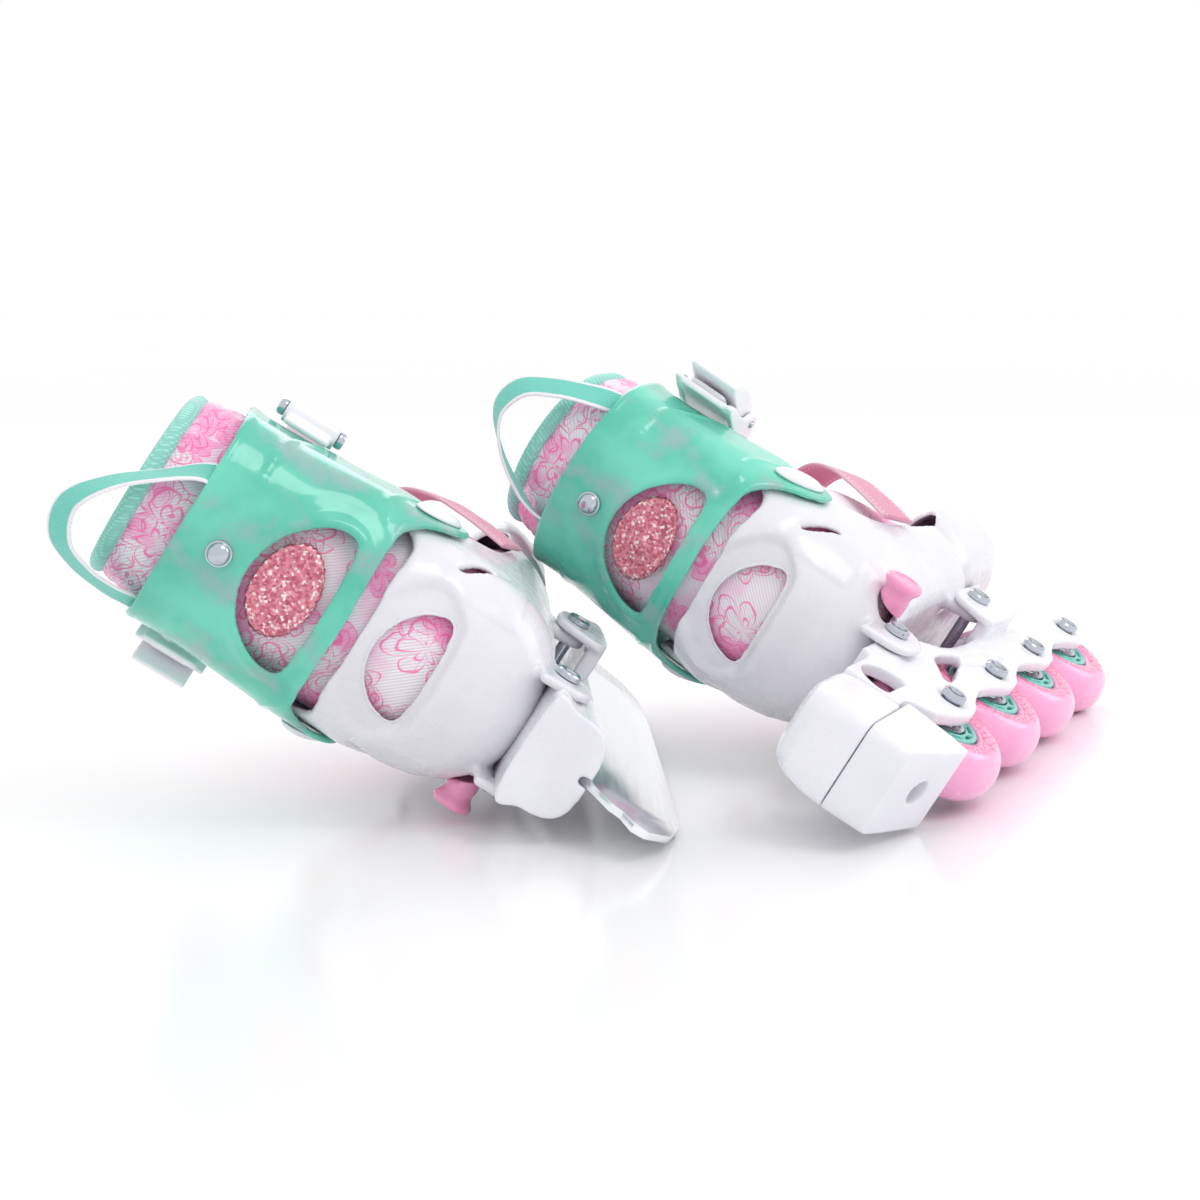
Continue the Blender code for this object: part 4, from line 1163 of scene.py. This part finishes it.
def brake():
    hole = rod(2.9, (BRAKE_BOLT_X, 0, 22), (BRAKE_BOLT_X, 0, 56))
    housing = brake_loft(BRAKE_FACE, (40.3, -184, 20, 6), (50, -184, 20, 7), (60, -182.5, 19.2, 9),
                         (66, -178, 17.5, 9), (68.6, -172, 14.5, 8))
    housing = moulded(cut(housing, [hole]), 0.8, 4, 0.5)
    add(housing, "brake_mount", "right", "skate", WHITE_FRAME, ["brake_housing"])
    body = brake_loft(-137, (8, -181, 18, 4), (20, -182, 19.2, 5), (39.9, -184, 20, 6))
    sole = plate([(-190, -5), (-190, 26), (-179, 21.5), (-160, 15.3), (-141, 10.6), (-130, 12), (-130, -5)],
                 -30, 30)
    front = plate([(-148, 60), (-137.5, 39), (-138.5, 8), (-120, 0), (-120, 60)], -30, 30)
    well = rod(5.4, (BRAKE_BOLT_X, 0, 5), (BRAKE_BOLT_X, 0, 27), 40)
    shaft = rod(2.9, (BRAKE_BOLT_X, 0, 20), (BRAKE_BOLT_X, 0, 45))
    pad = moulded(cut(body, [sole, front, well, shaft]), 0.7, 4, 0.5)
    add(pad, "brake_block", "right", "skate", WHITE_RUBBER, ["brake_pad"])
    bolt = cut(turned([(0.01, 26.7), (4.6, 26.7), (4.6, 23.2), (4.0, 22.5), (0.01, 22.5)], 40),
               [rod(2.2, (0, 20, 0), (0, 25, 0), 6)])
    shank = rod(2.5, (0, 0, 26.6), (0, 0, 55))
    screw = moved(together([rolled(bolt, 90, "X"), shank]), (BRAKE_BOLT_X, 0, 0))
    add(screw, "brake_screw", "right", "skate", CHROME, ["brake_bolt"], 40)


def ice_chassis():
    spar = [(-118, 45), (-112, 41.5), (-90, 39), (-70, 38), (0, 37.4), (70, 38), (100, 41), (110, 46),
            (111, 51), (100, 53.5), (60, 55.5), (36, 52.5), (0, 51.5), (-34, 52), (-50, 56), (-62, 64),
            (-72, 70.5), (-118, 70.5)]
    tower = closed([(-21.2, 70.4), (-21, 60), (-20, 50), (-14, 43.5), (0, 42), (14, 43.5), (20, 50),
                    (21, 60), (21.2, 70.4)])
    solids = [plate(spar, -8, 8), plate(tower, -118, -72, "X"), box((-9, -20, 47.2), (34.5, 20, 53))]
    body = one_skin(solids + saddle(), 0.9)
    cutters = [box((-150, -BLADE_SLOT, 20), (150, BLADE_SLOT, 46.5)), bolt_hole(REAR_BOLT),
               bolt_hole(FRONT_BOLT)]
    for side in (-1, 1):
        for low, high in ((-62, -14), (40, 96)):
            dent = closed([(low, 46), (low + 8, 42), (high - 8, 42), (high, 46), (high - 6, 49),
                           (low + 6, 49)])
            cutters.append(plate(dent, *sorted((side * 6.6, side * 12))))
    body = moulded(cut(body, cutters), 0.8, 4, 0.5)
    add(body, "moulded_holder", "left", "skate", WHITE_FRAME, ["blade_holder"])
    edge = [(-112, 46), (-131, 34), (-133, 29), (-142, 25), (-141.5, 19), (-128, 8), (-106, 1.2),
            (-60, 0.3), (50, 0.3), (96, 1.6), (120, 9), (132, 22), (134, 34), (108, 46)]
    blade = plate(edge, -BLADE_HALF, BLADE_HALF)
    modified(blade, "BEVEL", width=0.35, segments=2, limit_method="ANGLE")
    blade = baked(blade)
    add(blade, "brushed_blade", "left", "skate", BLADE, ["steel_blade"], 30)


# ---- Stage -----------------------------------------------------------------------------------

def stage():
    bm = bmesh.new()
    bmesh.ops.create_grid(bm, x_segments=1, y_segments=1, size=6.0)
    mesh = bpy.data.meshes.new("floor")
    bm.to_mesh(mesh)
    bm.free()
    floor = link("floor", mesh)
    floor.location.z = -FLOOR_GAP
    remember(floor)
    paint = Paint("floor", (0.94, 0.94, 0.95), 0.16)
    paint.rough(paint.noise(3.0, 2.0), 0.14, 0.18)
    mesh.materials.append(paint.material)

    world = bpy.data.worlds.new("studio")
    bpy.context.scene.world = world
    world.use_nodes = True
    sky = world.node_tree.nodes["Background"]
    sky.inputs["Color"].default_value = (1.0, 1.0, 1.0, 1.0)
    sky.inputs["Strength"].default_value = 1.0
    for name, place, aim, size, power in (("key", (0.7, -0.5, 1.3), (0, 0, 0.05), 0.6, 3.5),
                                          ("side", (1.2, 0.2, 0.6), (0, 0, 0.05), 0.6, 2.0),
                                          ("back", (-0.2, 1.2, 1.0), (0, 0, 0.05), 1.0, 4.0)):
        light = bpy.data.lights.new(name, "AREA")
        light.size = size
        light.energy = power
        lamp = link(name, light)
        lamp.location = place
        lamp.rotation_euler = (Vector(aim) - Vector(place)).to_track_quat("-Z", "Y").to_euler()


def camera():
    data = bpy.data.cameras.new("camera")
    data.lens = CAMERA["lens"]
    data.clip_start = 0.05
    eye = link("camera", data)
    down = math.radians(CAMERA["down"])
    target = Vector(CAMERA["target"]) * MM
    back = Vector((0, -math.cos(down), math.sin(down))) * CAMERA["distance"] * MM
    eye.location = target + back
    eye.rotation_euler = (-back).to_track_quat("-Z", "Y").to_euler()
    bpy.context.scene.camera = eye
    bpy.context.scene.view_settings.view_transform = "Standard"


WHITE = white_plastic("shell white")
WHITE_TRIM = white_plastic("trim white", (0.84, 0.84, 0.88), 0.14, 0.22)
WHITE_FRAME = white_plastic("frame white", (0.82, 0.82, 0.87), 0.22, 0.34)
WHITE_RUBBER = white_plastic("brake white", (0.80, 0.80, 0.85), 0.40, 0.52)
TEAL = teal_plastic()
PRINT = print_fabric()
WEBBING = plain_fabric("loop webbing", (0.20, 0.74, 0.62), (0.90, 0.88, 0.92), 4.4)
LINING = plain_fabric("teal lining", (0.36, 0.80, 0.70), pitch=1.9)
STRAP = plain_fabric("strap", (0.88, 0.34, 0.50), (0.80, 0.50, 0.58), 9.3, dots=7.8)
GLITTER = glitter()
CHROME = metal("plated steel", (0.56, 0.59, 0.65), 0.10, 0.22)
STEEL = metal("bearing steel", (0.66, 0.67, 0.70), 0.2, 0.34)
BLADE = metal("brushed blade", (0.92, 0.94, 0.97), 0.12, 0.24, (0.04, 1.0, 3.0))
URETHANE = urethane()
HUB_TEAL = tinted("hub teal", (0.16, 0.62, 0.53))
BUTTON_PINK = tinted("button pink", (0.96, 0.35, 0.58), Subsurface_Weight=0.2, Subsurface_Scale=0.003)

camera()
stage()
shell()
toe_cap()
cuff()
liner()
tongue()
patch()
pivot_caps()
rivet()
buckle()
ladder_strap()
carry_loop()
instep_strap()
size_button()
mount_bolts()
chassis_frame()
wheels()
brake()
ice_chassis()
